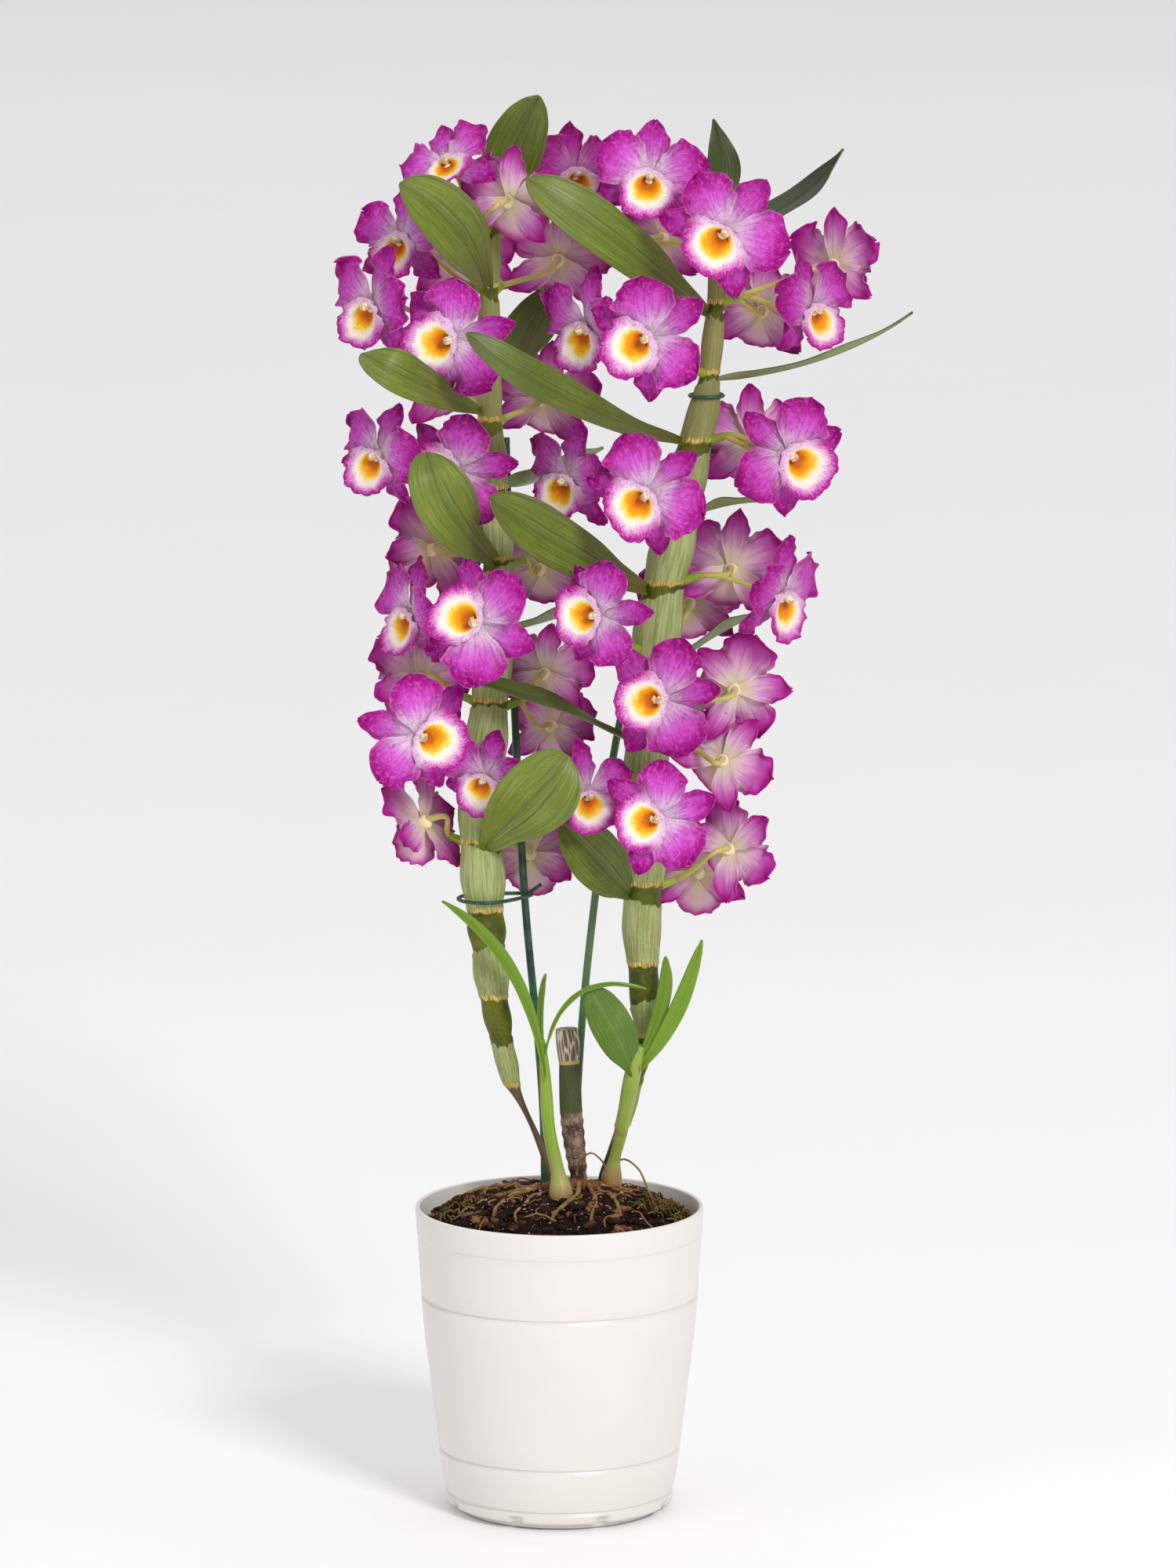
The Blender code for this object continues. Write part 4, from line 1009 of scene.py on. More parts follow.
def lip_inside(shader):
    """Round zones from the lip's heart: dark spot, orange, yellow, pale halo, magenta rim with fine rays."""
    place = shader.split(shader.uv())
    turn = shader.times(place[0], math.tau)
    around = {0: shader.maths("SINE", turn), 1: shader.maths("COSINE", turn), 2: place[1]}
    rays = shader.noise(13.0, 3.0, shader.node("CombineXYZ", around).outputs[0], 0.6)
    uneven = shader.plus(shader.spread(shader.noise(230.0, 3.0), 0.24), shader.spread(rays, 0.22))
    reach = shader.plus(place[1], uneven)
    top = shader.maths("COSINE", shader.times(shader.minus(place[0], 0.75), math.tau))
    top = shader.step(shader.plus(top, shader.times(rays, 0.4)), 0.1, 1.0)
    spot = shader.times(shader.step(reach, 0.3, 0.14), shader.plus(top, 0.3, True))
    smear = shader.times(shader.step(rays, 0.52, 0.64), shader.step(reach, 0.46, 0.2))
    lines = shader.times(shader.step(rays, 0.5, 0.66), shader.step(place[1], 0.6, 0.85))
    gleam = shader.times(shader.step(rays, 0.46, 0.3), shader.step(place[1], 0.75, 1.0))
    rim = shader.coats("lip_pink", (shader.step(reach, 0.72, 0.92), "magenta"), (top, "lip_pale", 0.8))
    colour = shader.coats(
        "throat_orange",
        (shader.step(reach, 0.12, 0.34), "throat_yellow"),
        (spot, "throat_spot"),
        (smear, "throat_smear", 0.5),
        (shader.step(reach, 0.31, 0.44), "throat_edge"),
        (shader.step(reach, 0.41, 0.53), "lip_halo"),
        (shader.step(reach, 0.55, 0.77), rim),
        (lines, "lip_ray", 0.5),
        (gleam, "lip_gleam", 0.5),
        # Painted shade: the tone mark darkens the lips of blooms further back
        (shader.mark("tone"), "lip_shadow", 0.4, "MULTIPLY"),
    )
    height = shader.plus(shader.noise(1300.0, 2.0), shader.times(rays, 2.0))
    return {"Base Color": colour, "Normal": shader.bump(height, 0.0004, 0.7)}


def lip_outside(shader):
    """Cream at the foot of the funnel, magenta at its rim."""
    reach = shader.plus(shader.split(shader.uv())[1], shader.times(shader.noise(160.0, 2.0), 0.1))
    colour = shader.coats(
        "lip_back_cream",
        (shader.step(reach, 0.2, 0.6), "lip_back_blush"),
        (shader.step(reach, 0.6, 1.0), "lip_back_magenta"),
    )
    return {"Base Color": colour, "Normal": shader.bump(shader.noise(400.0), 0.0002, 0.4)}


def column_skin(shader):
    """Mark runs from the foot of the column to its cap."""
    mark = shader.mark("mark")
    speck = shader.step(shader.noise(900.0, 3.0), 0.48, 0.62)
    colour = shader.coats(
        "column_green",
        (shader.step(mark, 0.2, 0.6), "column_cream"),
        (shader.step(mark, 0.84, 0.98), "column_cap", 0.7),
        (speck, "column_speck", 0.55),
    )
    return {"Base Color": colour, "Normal": shader.bump(speck, 0.0004, 0.6)}


def stalk_skin(shader):
    """Mark is 0 on the green foot and 1 at the bloom."""
    mark, mottle = shader.mark("mark"), shader.mottle(160.0)
    colour = shader.coats(
        "stalk_green",
        (shader.step(mark, 0.1, 0.35), "stalk_yellow"),
        (shader.step(mark, 0.6, 1.0), "stalk_cream"),
        (shader.step(mottle, 0.5, 0.75), "stalk_mottle"),
    )
    return {"Base Color": colour, "Normal": shader.bump(mottle, 0.0003, 0.4)}


def leaf_front(shader):
    """Tone is how lit the blade is painted, below 0 in painted shade; mark is how purple it turns at edge and
    base.
    """
    veins = shader.group("Blade veins", lines=11.0, waviness=0.5)
    place = shader.group("Petal place", unevenness=0.5)
    mottle, tone, mark = shader.mottle(60.0), shader.mark("tone"), shader.mark("mark")
    creases, grain = shader.streaks(13.0, 0.7), shader.streaks(60.0, 3.0)
    # young: share of light blotches and grain, more where the blade is painted lit
    young = shader.plus(shader.times(tone, 0.6), 0.15)
    edge = shader.times(shader.step(place["Edge"], 0.55, 1.05), mark)
    foot = shader.times(shader.step(place["Along"], 0.5, 0.0), mark)
    colour = shader.coats(
        # Painted light and shade: the tone mark mixes from leaf_dark towards leaf_green as the blade is
        # painted more lit
        "leaf_dark",
        (tone, "leaf_green"),
        (shader.times(shader.step(mottle, 0.4, 0.75), young), "leaf_blotch"),
        (shader.step(creases, 0.56, 0.63), "leaf_crease", 0.6),
        (veins["Veins"], "leaf_vein", 0.12),
        (shader.times(shader.step(grain, 0.5, 0.7), young), "leaf_grain_light"),
        (shader.step(grain, 0.5, 0.34), "leaf_grain_dark", 0.25),
        (veins["Rib"], "leaf_rib", 0.5),
        (shader.maths("MAXIMUM", edge, foot), "leaf_purple", 0.8),
        (shader.step(tone, 0.0, -0.4), "leaf_shadow", 0.8, "MULTIPLY"),
    )
    height = shader.minus(shader.noise(500.0, 2.0), shader.plus(veins["Veins"], veins["Rib"]))
    normal = shader.bump(height, 0.00022, 0.5)
    return {"Base Color": colour, "Normal": normal, "Roughness": shader.gloss(mottle, 0.34, 0.52)}


def leaf_back(shader):
    """The pale underside; mark is how purple it turns."""
    veins = shader.group("Blade veins", lines=11.0, waviness=0.5)
    colour = shader.coats(
        "under_green",
        (shader.mottle(70.0), "under_pale"),
        (veins["Veins"], "under_vein", 0.3),
        (shader.mark("mark"), "under_purple", 0.3),
    )
    return {"Base Color": colour, "Normal": shader.bump(veins["Veins"], 0.0002, 0.5)}


def cane_skin(shader):
    """Mark is 1 where a papery sheath wraps the cane; ring is 1 on a node's fringe; tone is age."""
    stripes, hairs = shader.streaks(46.0, 5.0, 3.0, 0.5), shader.streaks(150.0, 9.0, 2.0, 0.5)
    mottle, age = shader.mottle(90.0), shader.mark("tone")
    top = shader.step(shader.split(shader.uv())[1], 4.1, 4.7)
    brown = shader.times(shader.step(hairs, 0.45, 0.6), shader.maths("MINIMUM", age, 1.0))
    brown = shader.times(brown, shader.step(mottle, 0.3, 0.6))
    bare = shader.coats(
        "cane_olive",
        (shader.step(mottle, 0.3, 0.7), "cane_yellow"),
        (shader.step(hairs, 0.5, 0.8), "cane_hair", 0.3),
        (shader.step(age, 1.2, 1.8), "cane_foot"),
    )
    paper = shader.coats(
        "sheath",
        (shader.step(stripes, 0.4, 0.6), "sheath_green"),
        (shader.step(hairs, 0.52, 0.7), "sheath_hair", 0.5),
        (top, "sheath_top", 0.6),
        (brown, "sheath_brown", 0.85),
    )
    fringe = shader.coat("fringe_brown", shader.step(hairs, 0.4, 0.62), "fringe_straw")
    colour = shader.coats(
        bare,
        (shader.step(shader.mark("mark"), 0.35, 0.65), paper),
        (shader.step(shader.mark("ring"), 0.3, 0.8), fringe),
    )
    height = shader.plus(stripes, shader.times(hairs, 0.6))
    return {"Base Color": colour, "Normal": shader.bump(height, 0.0004, 0.5)}


def old_cane_skin(shader):
    """Mark is 1 on the netted upper sheath, ring on the fringe, tone on the brown papery foot."""
    net = {"Vector": shader.stretch(18.0, 9.0), "Scale": 1.0}
    lines = shader.step(shader.node("TexVoronoi", net, feature="DISTANCE_TO_EDGE").outputs[0], 0.13, 0.04)
    mottle = shader.mottle(150.0)
    paper = shader.coat("stub_paper", lines, "stub_net")
    foot = shader.coat("stub_foot_dark", shader.step(mottle, 0.4, 0.62), "stub_foot")
    colour = shader.coats(
        "stub_dark",
        (mottle, "stub_green"),
        (shader.step(shader.mark("mark"), 0.4, 0.6), paper),
        (shader.step(shader.mark("tone"), 0.4, 0.6), foot),
        (shader.step(shader.mark("ring"), 0.4, 0.8), "stub_fringe"),
    )
    height = shader.plus(shader.times(lines, 0.6), mottle)
    return {"Base Color": colour, "Normal": shader.bump(height, 0.0005, 0.7)}


def shoot_skin(shader):
    """Mark is 1 at the pale foot of a shoot, ring is 1 on its swollen base."""
    stripes = shader.streaks(40.0, 4.0, 2.0, 0.5)
    colour = shader.coats(
        "shoot_green",
        (shader.step(stripes, 0.35, 0.65), "shoot_stripe"),
        (shader.mark("mark"), "shoot_pale"),
        (shader.mark("ring"), "shoot_base"),
    )
    return {"Base Color": colour, "Normal": shader.bump(stripes, 0.0003, 0.5)}


def shoot_leaf(shader):
    """Fresh green young blades; tone is how lit one is painted, from painted shade at 0 to painted light at
    1.
    """
    veins = shader.group("Blade veins", lines=9.0, waviness=0.4)
    colour = shader.coats(
        "young_leaf_dark",
        # Painted light and shade: the tone mark mixes from young_leaf_dark towards shoot_green where a blade
        # is painted lit
        (shader.mark("tone"), "shoot_green"),
        (shader.step(shader.mottle(80.0), 0.5, 0.8), "young_leaf_blotch", 0.4),
        (veins["Veins"], "young_leaf_vein", 0.25),
        (veins["Rib"], "young_leaf_rib", 0.5),
    )
    return {"Base Color": colour, "Normal": shader.bump(veins["Veins"], 0.0002, 0.5)}


def root_rind(shader):
    """Mark runs to the root's tip; tone tells roots apart."""
    mottle = shader.mottle(220.0)
    colour = shader.coats(
        "root_tan",
        (shader.mark("tone"), "root_brown"),
        (shader.step(mottle, 0.48, 0.7), "root_pale"),
        (shader.step(mottle, 0.48, 0.32), "root_dark"),
        (shader.step(shader.mark("mark"), 0.6, 1.0), "root_tip"),
    )
    return {"Base Color": colour, "Normal": shader.bump(mottle, 0.0006, 0.8)}


def mix_surface(shader):
    """Near black peat with brown crumbs and pale specks."""
    crumbs = shader.noise(1100.0, 4.0, rough=0.7)
    colour = shader.coats(
        "mix_dark",
        (shader.step(shader.mottle(160.0, fine=0.5), 0.35, 0.7), "mix_brown"),
        (shader.step(crumbs, 0.62, 0.78), "mix_crumb"),
        (shader.step(crumbs, 0.76, 0.82), "mix_speck"),
    )
    return {"Base Color": colour, "Normal": shader.bump(crumbs, 0.0012, 1.0)}


def bark_bit(shader):
    """Tone runs from near black bark through red-brown to tan and pale specks."""
    crumbs, tone = shader.noise(900.0, 3.0), shader.mark("tone")
    colour = shader.coats(
        "bark_black",
        (shader.step(tone, 0.0, 0.6), "bark_brown"),
        (shader.step(tone, 0.6, 0.8), "bark_tan"),
        (shader.step(tone, 0.86, 1.0), "bark_pale"),
        (shader.step(crumbs, 0.4, 0.7), "bark_crumb", 0.4),
    )
    return {"Base Color": colour, "Normal": shader.bump(crumbs, 0.0006, 0.8)}


def fibre(shader):
    """Tone runs from tan coir through olive moss to brown."""
    tone = shader.mark("tone")
    colour = shader.coats(
        "coir", (shader.step(tone, 0.2, 0.5), "moss"), (shader.step(tone, 0.6, 0.9), "fibre_brown")
    )
    return {"Base Color": colour, "Normal": shader.bump(shader.noise(700.0), 0.0003, 0.5)}


def moulded_plastic(shader):
    """Smooth moulded plastic: barely uneven gloss, a little darker towards the foot."""
    slow = shader.mottle(14.0, fine=0.2)
    height = shader.split(shader.node("TexCoord").outputs["Object"])[2]
    colour = shader.coats(
        "pot_white",
        (shader.step(slow, 0.3, 0.8), "pot_tone"),
        # Darker towards the foot, over the lowest 30 mm
        (shader.step(height, 0.03, 0.0), "pot_foot_tint", 0.25),
    )
    normal = shader.bump(shader.noise(1600.0, 2.0), 0.00005, 0.25)
    return {"Base Color": colour, "Normal": normal, "Roughness": shader.gloss(slow, 0.26, 0.4)}


def wire_coat(shader):
    """Dark green coating; tone is how faded it is."""
    mottle = shader.mottle(200.0)
    colour = shader.coats(
        "wire_dark", (shader.step(mottle, 0.3, 0.7), "wire_green"), (shader.mark("tone"), "wire_faded")
    )
    return {"Base Color": colour, "Normal": shader.bump(mottle, 0.0002, 0.4)}


def floor_paint(shader):
    """Nearly even white."""
    return {"Base Color": shader.coat("floor_white", shader.mottle(2.0), "floor_shade")}


# Material name: roughness, specular level, layout of its nodes
MATERIALS = {
    "petal_front": (0.5, 0.12, petal_front),
    "petal_back": (0.55, 0.15, petal_back),
    "lip_inside": (0.6, 0.25, lip_inside),
    "lip_outside": (0.6, 0.5, lip_outside),
    "column_skin": (0.35, 0.5, column_skin),
    "stalk_skin": (0.45, 0.5, stalk_skin),
    "leaf_front": (0.42, 0.5, leaf_front),
    "leaf_back": (0.55, 0.5, leaf_back),
    "cane_skin": (0.5, 0.3, cane_skin),
    "old_cane_skin": (0.75, 0.5, old_cane_skin),
    "shoot_skin": (0.42, 0.5, shoot_skin),
    "shoot_leaf": (0.42, 0.5, shoot_leaf),
    "root_rind": (0.6, 0.3, root_rind),
    "mix_surface": (0.9, 0.15, mix_surface),
    "bark_bit": (0.8, 0.15, bark_bit),
    "fibre": (0.8, 0.2, fibre),
    "moulded_plastic": (0.32, 0.5, moulded_plastic),
    "wire_coat": (0.4, 0.5, wire_coat),
    "floor_paint": (0.9, 0.5, floor_paint),
}


def make_material(name):
    """The named material, with its nodes laid out by its function."""
    roughness, specular, layout = MATERIALS[name]
    made = bpy.data.materials.new(name)
    made.use_nodes = True
    shader = Shader(made.node_tree)
    surface = shader.node("BsdfPrincipled", {"Roughness": roughness, "Specular IOR Level": specular})
    shader.node("OutputMaterial", {"Surface": surface.outputs[0]})
    for socket, value in layout(shader).items():
        shader.set(surface.inputs[socket], value)


def get(*names):
    """The named materials, made on first use together with the groups that they share."""
    if "Blade veins" not in bpy.data.node_groups:
        make_veins_group()
        make_mottle_group()
        make_petal_group()
    for name in names:
        if name not in bpy.data.materials:
            make_material(name)
    return [bpy.data.materials[name] for name in names]


# Pot, mix and roots


def turned_grid(profile, steps):
    """Points of a profile turned round the pot's axis."""
    angle = np.arange(steps) * math.tau / steps
    profile = np.asarray(profile, float)
    radius = profile[:, None, 0]
    height = np.broadcast_to(profile[:, None, 1], (len(profile), steps))
    return np.stack([radius * np.cos(angle), radius * np.sin(angle), height], axis=-1)


def round_corner(first, corner, last, radius, steps=5):
    """Points that ease a profile's corner."""
    corner = np.asarray(corner, float)
    into = unit(np.asarray(first, float) - corner) * radius + corner
    out = unit(np.asarray(last, float) - corner) * radius + corner
    return [tuple(bend(into, (into + out) * 0.25 + corner * 0.5, out, t)) for t in np.linspace(0, 1, steps)]


def groove(z, radius):
    """A soft turned groove: its wall leans a little, and it is deepest just under z."""
    return [(radius + rise * WALL_LEAN - GROOVE_DEPTH * depth, z + rise) for rise, depth in GROOVE_SECTION]


def pot_profile():
    """The pot's section from the middle of its floor inside, over the rim and down to the foot."""
    rim, floor, band = POT_HEIGHT, FLOOR_THICKNESS, LIP_BAND_Z
    upper, lower, foot = (groove(z, radius) for z, radius in GROOVES)
    return [
        (0.5, floor),
        (20.0, floor),
        *round_corner((20, floor), (INNER_FLOOR_RADIUS, floor), (46, 12), 2.5),
        (48.0, 32.0),
        (53.5, 82.0),
        *round_corner((57.6, 118.0), (INNER_RIM_RADIUS, rim - 0.1), (59, rim), 0.6),
        *round_corner((58.6, rim), (RIM_RADIUS + 0.05, rim), (RIM_RADIUS, 120), 1.1),
        *((59.85, 124.0), (59.7, 120.0), (59.6, band + 0.6)),
        *((59.5, band + 0.2), (59.22, band), (59.1, band - 0.4)),
        *((58.9, 110.0), (58.3, 100.0)),
        *upper,
        *((57.0, 80.0), (56.0, 70.0), (54.4, 58.0), (53.0, 46.0), (51.6, 35.0)),
        *lower,
        *((49.8, 20.0), (48.7, 13.0)),
        *foot,
        *((47.5, 5.4), (47.4, 4.0), (47.1, 3.2), (46.5, 2.8), (43.4, 2.5), (43.1, 1.9), (42.6, 0.5)),
        *((FOOT_RADIUS - 0.2, 0.0), (30.0, 0.0), (0.5, 0.0)),
    ]


def build_pot():
    """The turned pot, with small notches cut in round its skirt."""
    shape = Shape()
    profile = pot_profile()
    grid = turned_grid(profile, POT_SIDES)
    radius = np.hypot(grid[..., 0], grid[..., 1])
    turn = (np.arange(POT_SIDES) / POT_SIDES * SKIRT_NOTCHES + 0.5) % 1.0
    off = np.minimum(turn, 1.0 - turn) * math.tau * SKIRT_RADIUS / SKIRT_NOTCHES
    low, high = SKIRT_BAND
    skirt = (grid[..., 2] > low) & (grid[..., 2] < high) & (radius > SKIRT_INSIDE)
    notch = 1.0 - ease(*NOTCH_EDGE, off)
    pull = np.where(skirt, notch[None, :] * NOTCH_DEPTH, 0.0)
    grid[..., :2] *= ((radius - pull) / radius)[..., None]
    span = np.cumsum(np.concatenate([[0], np.linalg.norm(np.diff(np.array(profile), axis=0), axis=1)]))
    u, v = np.meshgrid(np.arange(POT_SIDES + 1) / POT_SIDES, span / POT_UV_LENGTH)
    shape.patch(grid, np.stack([u, v], -1), 0, wrap=True, flip=True)
    place_piece(shape, "pot_shell", "pot_plastic", "pot", "moulded_plastic")


class Luck:
    """Seeded random draws shared by the loose pieces."""

    def __init__(self, seed):
        self.draw = np.random.default_rng(seed)

    def uniform(self, low, high, size=None):
        return self.draw.uniform(low, high, size)

    def tilt(self):
        return float(self.draw.normal(0.0, 0.45))


def crumb(luck, size):
    """A rough little stone of bark as a wrapped grid of points."""
    rows, columns = CRUMB_GRID
    lift = np.linspace(-1, 1, rows)[:, None]
    angle = np.arange(columns)[None, :] * math.tau / columns + luck.uniform(0, 1)
    ring = np.sqrt(np.maximum(0.03, 1 - lift**2)) * luck.uniform(0.75, 1.2, (rows, columns))
    stretch = np.array([luck.uniform(0.7, 1.5), luck.uniform(0.45, 0.9), luck.uniform(0.3, 0.6)]) * size
    lift = np.broadcast_to(lift, ring.shape)
    grid = np.stack([ring * np.cos(angle), ring * np.sin(angle), lift], -1) * stretch
    turn = Matrix.Rotation(luck.uniform(0, math.tau), 3, "Z") @ Matrix.Rotation(luck.tilt(), 3, "X")
    return grid @ np.array(turn).T


def mix_height(radius):
    """The height of the mounded mix at this distance from the pot's axis."""
    return curve_at(MIX_STATIONS, radius)


def mix_spot(luck, reach):
    """A random spot on the mound."""
    radius = reach * math.sqrt(luck.uniform(0, 1))
    angle = luck.uniform(0, math.tau)
    return radius * math.cos(angle), radius * math.sin(angle), float(mix_height(radius))


def build_mix():
    """The mounded mix with loose bark, specks, coir fibres and a mossy patch."""
    luck = Luck(MIX_SEED)
    shape = Shape()
    rings = np.concatenate([np.linspace(0.3, MIX_INSIDE, MIX_RINGS), [MIX_EDGE, MIX_INSIDE]])
    angle = np.arange(MIX_SIDES) * math.tau / MIX_SIDES
    grid = np.zeros((len(rings), MIX_SIDES, 3))
    for row, radius in enumerate(rings):
        for column, turn in enumerate(angle):
            x, y = radius * math.cos(turn), radius * math.sin(turn)
            rough = noise.fractal(Vector((x * 0.16, y * 0.16, 3.0)), 0.9, 2.1, 5)
            lump = noise.noise(Vector((x * 0.05, y * 0.05, 8.0)))
            height = float(mix_height(min(radius, MIX_EDGE)))
            grid[row, column] = (x, y, height - MIX_SINK + rough * 1.2 + lump * 2.0)
    grid[-2, :, 2] -= 3.0
    grid[-1, :, 2] = MIX_SKIRT_Z
    u, v = np.meshgrid(np.arange(MIX_SIDES + 1) / MIX_SIDES, rings / MIX_UV_RADIUS)
    shape.patch(grid, np.stack([u, v], -1), 0, wrap=True, flip=True)
    rows, columns = CRUMB_GRID
    flat = np.zeros((rows, columns + 1, 2))
    for index in range(looks().bark_pieces):
        size = luck.uniform(0.5, 2.0) if index % 8 else luck.uniform(2.0, 3.6)
        x, y, z = mix_spot(luck, BARK_REACH - size)
        tone = luck.uniform(0.0, 0.55) if index % 16 else luck.uniform(0.6, 0.8)
        shape.patch(crumb(luck, size) + (x, y, z - 0.1), flat, 1, wrap=True, tone=tone)
    for index in range(PALE_SPECKS):
        x, y, z = mix_spot(luck, SPECK_REACH)
        speck = crumb(luck, luck.uniform(0.25, 0.6)) + (x, y, z + 0.9)
        shape.patch(speck, flat, 1, wrap=True, tone=luck.uniform(0.82, 1.0))
    add_fibres(shape, luck)
    place_piece(shape, "mix_bed", "mix_bark", "potting_mix", "mix_surface", "bark_bit", "fibre")


def add_fibres(shape, luck):
    """Thin coir fibres over the bark, then tangles of moss at the right and left edges."""
    for index in range(COIR_FIBRES + MOSS_FIBRES):
        mossy = index >= COIR_FIBRES
        if mossy:
            turn = luck.uniform(-0.5, 0.2) if index % 4 else luck.uniform(3.1, 3.6)
            radius = luck.uniform(38, 53)
            x, y = radius * math.cos(turn), radius * math.sin(turn)
        else:
            x, y, _ = mix_spot(luck, 48.0)
        heading = luck.uniform(0, math.tau)
        length = luck.uniform(4, 10) if mossy else luck.uniform(7, 18)
        line = []
        for t in np.linspace(0, 1, FIBRE_POINTS):
            heading += luck.uniform(-0.7, 0.7)
            x += math.cos(heading) * length / FIBRE_POINTS
            y += math.sin(heading) * length / FIBRE_POINTS
            far = math.hypot(x, y)
            if far > FIBRE_REACH:
                x, y = x * FIBRE_REACH / far, y * FIBRE_REACH / far
            rise = math.sin(t * math.pi) * luck.uniform(0.5, 2.6 if mossy else 1.6)
            line.append((x, y, float(mix_height(math.hypot(x, y))) + 0.9 + rise))
        if mossy:
            tone = luck.uniform(0.3, 0.55)
        else:
            tone = luck.uniform(0.0, 0.3) if index % 3 else luck.uniform(0.7, 1.0)
        shape.tube(smooth_line(line, 12), luck.uniform(0.2, 0.42), 5, 2, tone=tone)


def root_line(start, spots, radius, sink, wiggle):
    """A root's line from its start over the mix, dipping in and out towards its tip."""
    line = [] if start is None else [start]
    line += [(x, y, float(mix_height(math.hypot(x, y))) + radius + 0.5) for x, y in spots]
    line = smooth_line(line, ROOT_POINTS)
    t = np.linspace(0, 1, ROOT_POINTS)
    line[:, 2] -= sink * ease(0.35, 0.0, t)
    line[:, 0] += np.sin(t * 14 + wiggle) * 0.35 * t
    line[:, 1] += np.cos(t * 11 + wiggle) * 0.35 * t
    ground = mix_height(np.hypot(line[:, 0], line[:, 1]))
    line[:, 2] = np.maximum(line[:, 2] - ease(0.15, 0.5, t) * 0.7, ground + radius * 0.1)
    line[:, 2] -= ease(0.7, 1.0, t) * 1.9 + 1.5 * np.sin(t * 8 + wiggle) ** 2 * t
    return line, t


def build_roots():
    """The rhizome between the stems, the roots that run from it, and two thin ones in the air."""
    luck = Luck(ROOT_SEED)
    shape = Shape()
    crown = smooth_line(RHIZOME, 60)
    knots = 1 + 0.12 * np.sin(np.arange(60) * 0.8)
    shape.tube(crown[:, :3] - (0, 0, 1.0), crown[:, 3] * knots, 14, 0, tone=0.6, mark=0.9)
    for index, (start, spots, radius) in enumerate(ROOTS):
        wiggle = luck.uniform(0, math.tau)
        line, t = root_line(start, spots, radius, 2.2 + (index % 3) * 0.8, wiggle)
        knots = 1 + 0.09 * np.sin(t * 31 + wiggle) + 0.05 * np.sin(t * 53)
        thick = radius * (0.9 - 0.35 * t) * knots
        shape.tube(line, thick, 9, 0, tone=luck.uniform(0, 1), mark=t)
    for line in AIR_ROOTS:
        shape.tube(smooth_line(line, 30), AIR_ROOT_RADIUS, 6, 0, tone=0.1, mark=0.0)
    place_piece(shape, "root_mat", "root_skin", "roots", "root_rind")


# Canes, leaves and shoots


def cane_lines(cane, z):
    """Smooth centre and radius of a cane at the heights z."""
    keys = cane_rings(*CANES[cane])
    return [curve_at([(key[2], key[axis]) for key in keys], z) for axis in (0, 1, 3)]


def sheath_relief(sheaths, z, angle):
    """Where sheaths and fringe rings are on a cane, how far both stand off it, and the sheaths' ribs."""
    sheath, ring, lift = np.zeros_like(z), np.zeros_like(z), np.zeros_like(z)
    for index, (start, end) in enumerate(sheaths):
        slant = 2.6 * np.sin(angle + index * 2.4)
        ragged = 0.5 * np.sin(angle * 7 + index) + 0.3 * np.sin(angle * 13 + index * 3)
        inside = ease(-0.4, 0.4, z - start) * (1 - ease(-0.4, 0.4, z - (end + slant + ragged)))
        sheath = np.maximum(sheath, inside)
        ring = np.maximum(ring, bell(z - start - 0.5 - ragged * 0.8, 1.25))
        lift += inside * 0.32 + bell(z - start, 1.1) * 0.3
        lift += inside * bell(z - end - slant, 2.0) * 0.25
    ribs = (np.sin(angle * 14) + 0.6 * np.sin(angle * 23 + 1.3)) * 0.09 * sheath
    return sheath, ring, lift, ribs


def build_cane(cane, sheaths):
    """A jointed cane: each node has a fringe ring, and a papery sheath wraps most of each length."""
    points, nodes = CANES[cane]
    z = np.arange(points[0][2], points[-1][2], CANE_STEP)
    x, y, radius = cane_lines(cane, z)
    angle = (np.arange(CANE_SIDES) * math.tau / CANE_SIDES)[None]
    level = z[:, None] + 0 * angle
    sheath, ring, lift, ribs = sheath_relief(sheaths, level, angle)
    full = radius[:, None] - CANE_SINK + lift + ribs
    grid = np.stack([x[:, None] + full * np.cos(angle), y[:, None] + full * np.sin(angle), level], axis=-1)
    tip = grid[-1:] * CLOSED_END + np.array([x[-1], y[-1], z[-1] + 1.0]) * (1 - CLOSED_END)
    foot = grid[:1] * CLOSED_END + np.array([x[0], y[0], z[0]]) * (1 - CLOSED_END)
    rows = doubled_ends(z)
    u, v = np.meshgrid(np.arange(CANE_SIDES + 1) / CANE_SIDES, rows * UV_PER_MM)
    middle = ease(236.0, 262.0, rows) * 0.85 - ease(420.0, 460.0, rows) * 0.6
    age = (1.0 - middle + (rows < nodes[0]))[:, None]
    marks = {"tone": age, "mark": doubled_ends(sheath), "ring": doubled_ends(ring)}
    shape = Shape()
    shape.patch(np.concatenate([foot, grid, tip]), np.stack([u, v], -1), 0, wrap=True, **marks)
    place_piece(shape, f"cane_{cane}_stem", "cane_green", f"cane_{cane}", "cane_skin")


def build_old_cane():
    """The cut-off cane: netted sheath at the top, bare green below it, brown paper at the foot."""
    line = smooth_line(OLD_CANE, 110)
    z = line[:, 2]
    netted = ease(185.5, 187.0, z)
    brown = 1 - ease(164.0, 166.0, z)
    radii = line[:, 3] + netted * 0.1 + brown * 0.2 * np.sin(z * 1.3)
    shape = Shape()
    shape.tube(line[:, :3], radii, 32, 0, mark=netted, tone=brown, ring=bell(z - 186.0, 1.2))
    place_piece(shape, "old_stub", "old_cane", "old_cane_stub", "old_cane_skin")


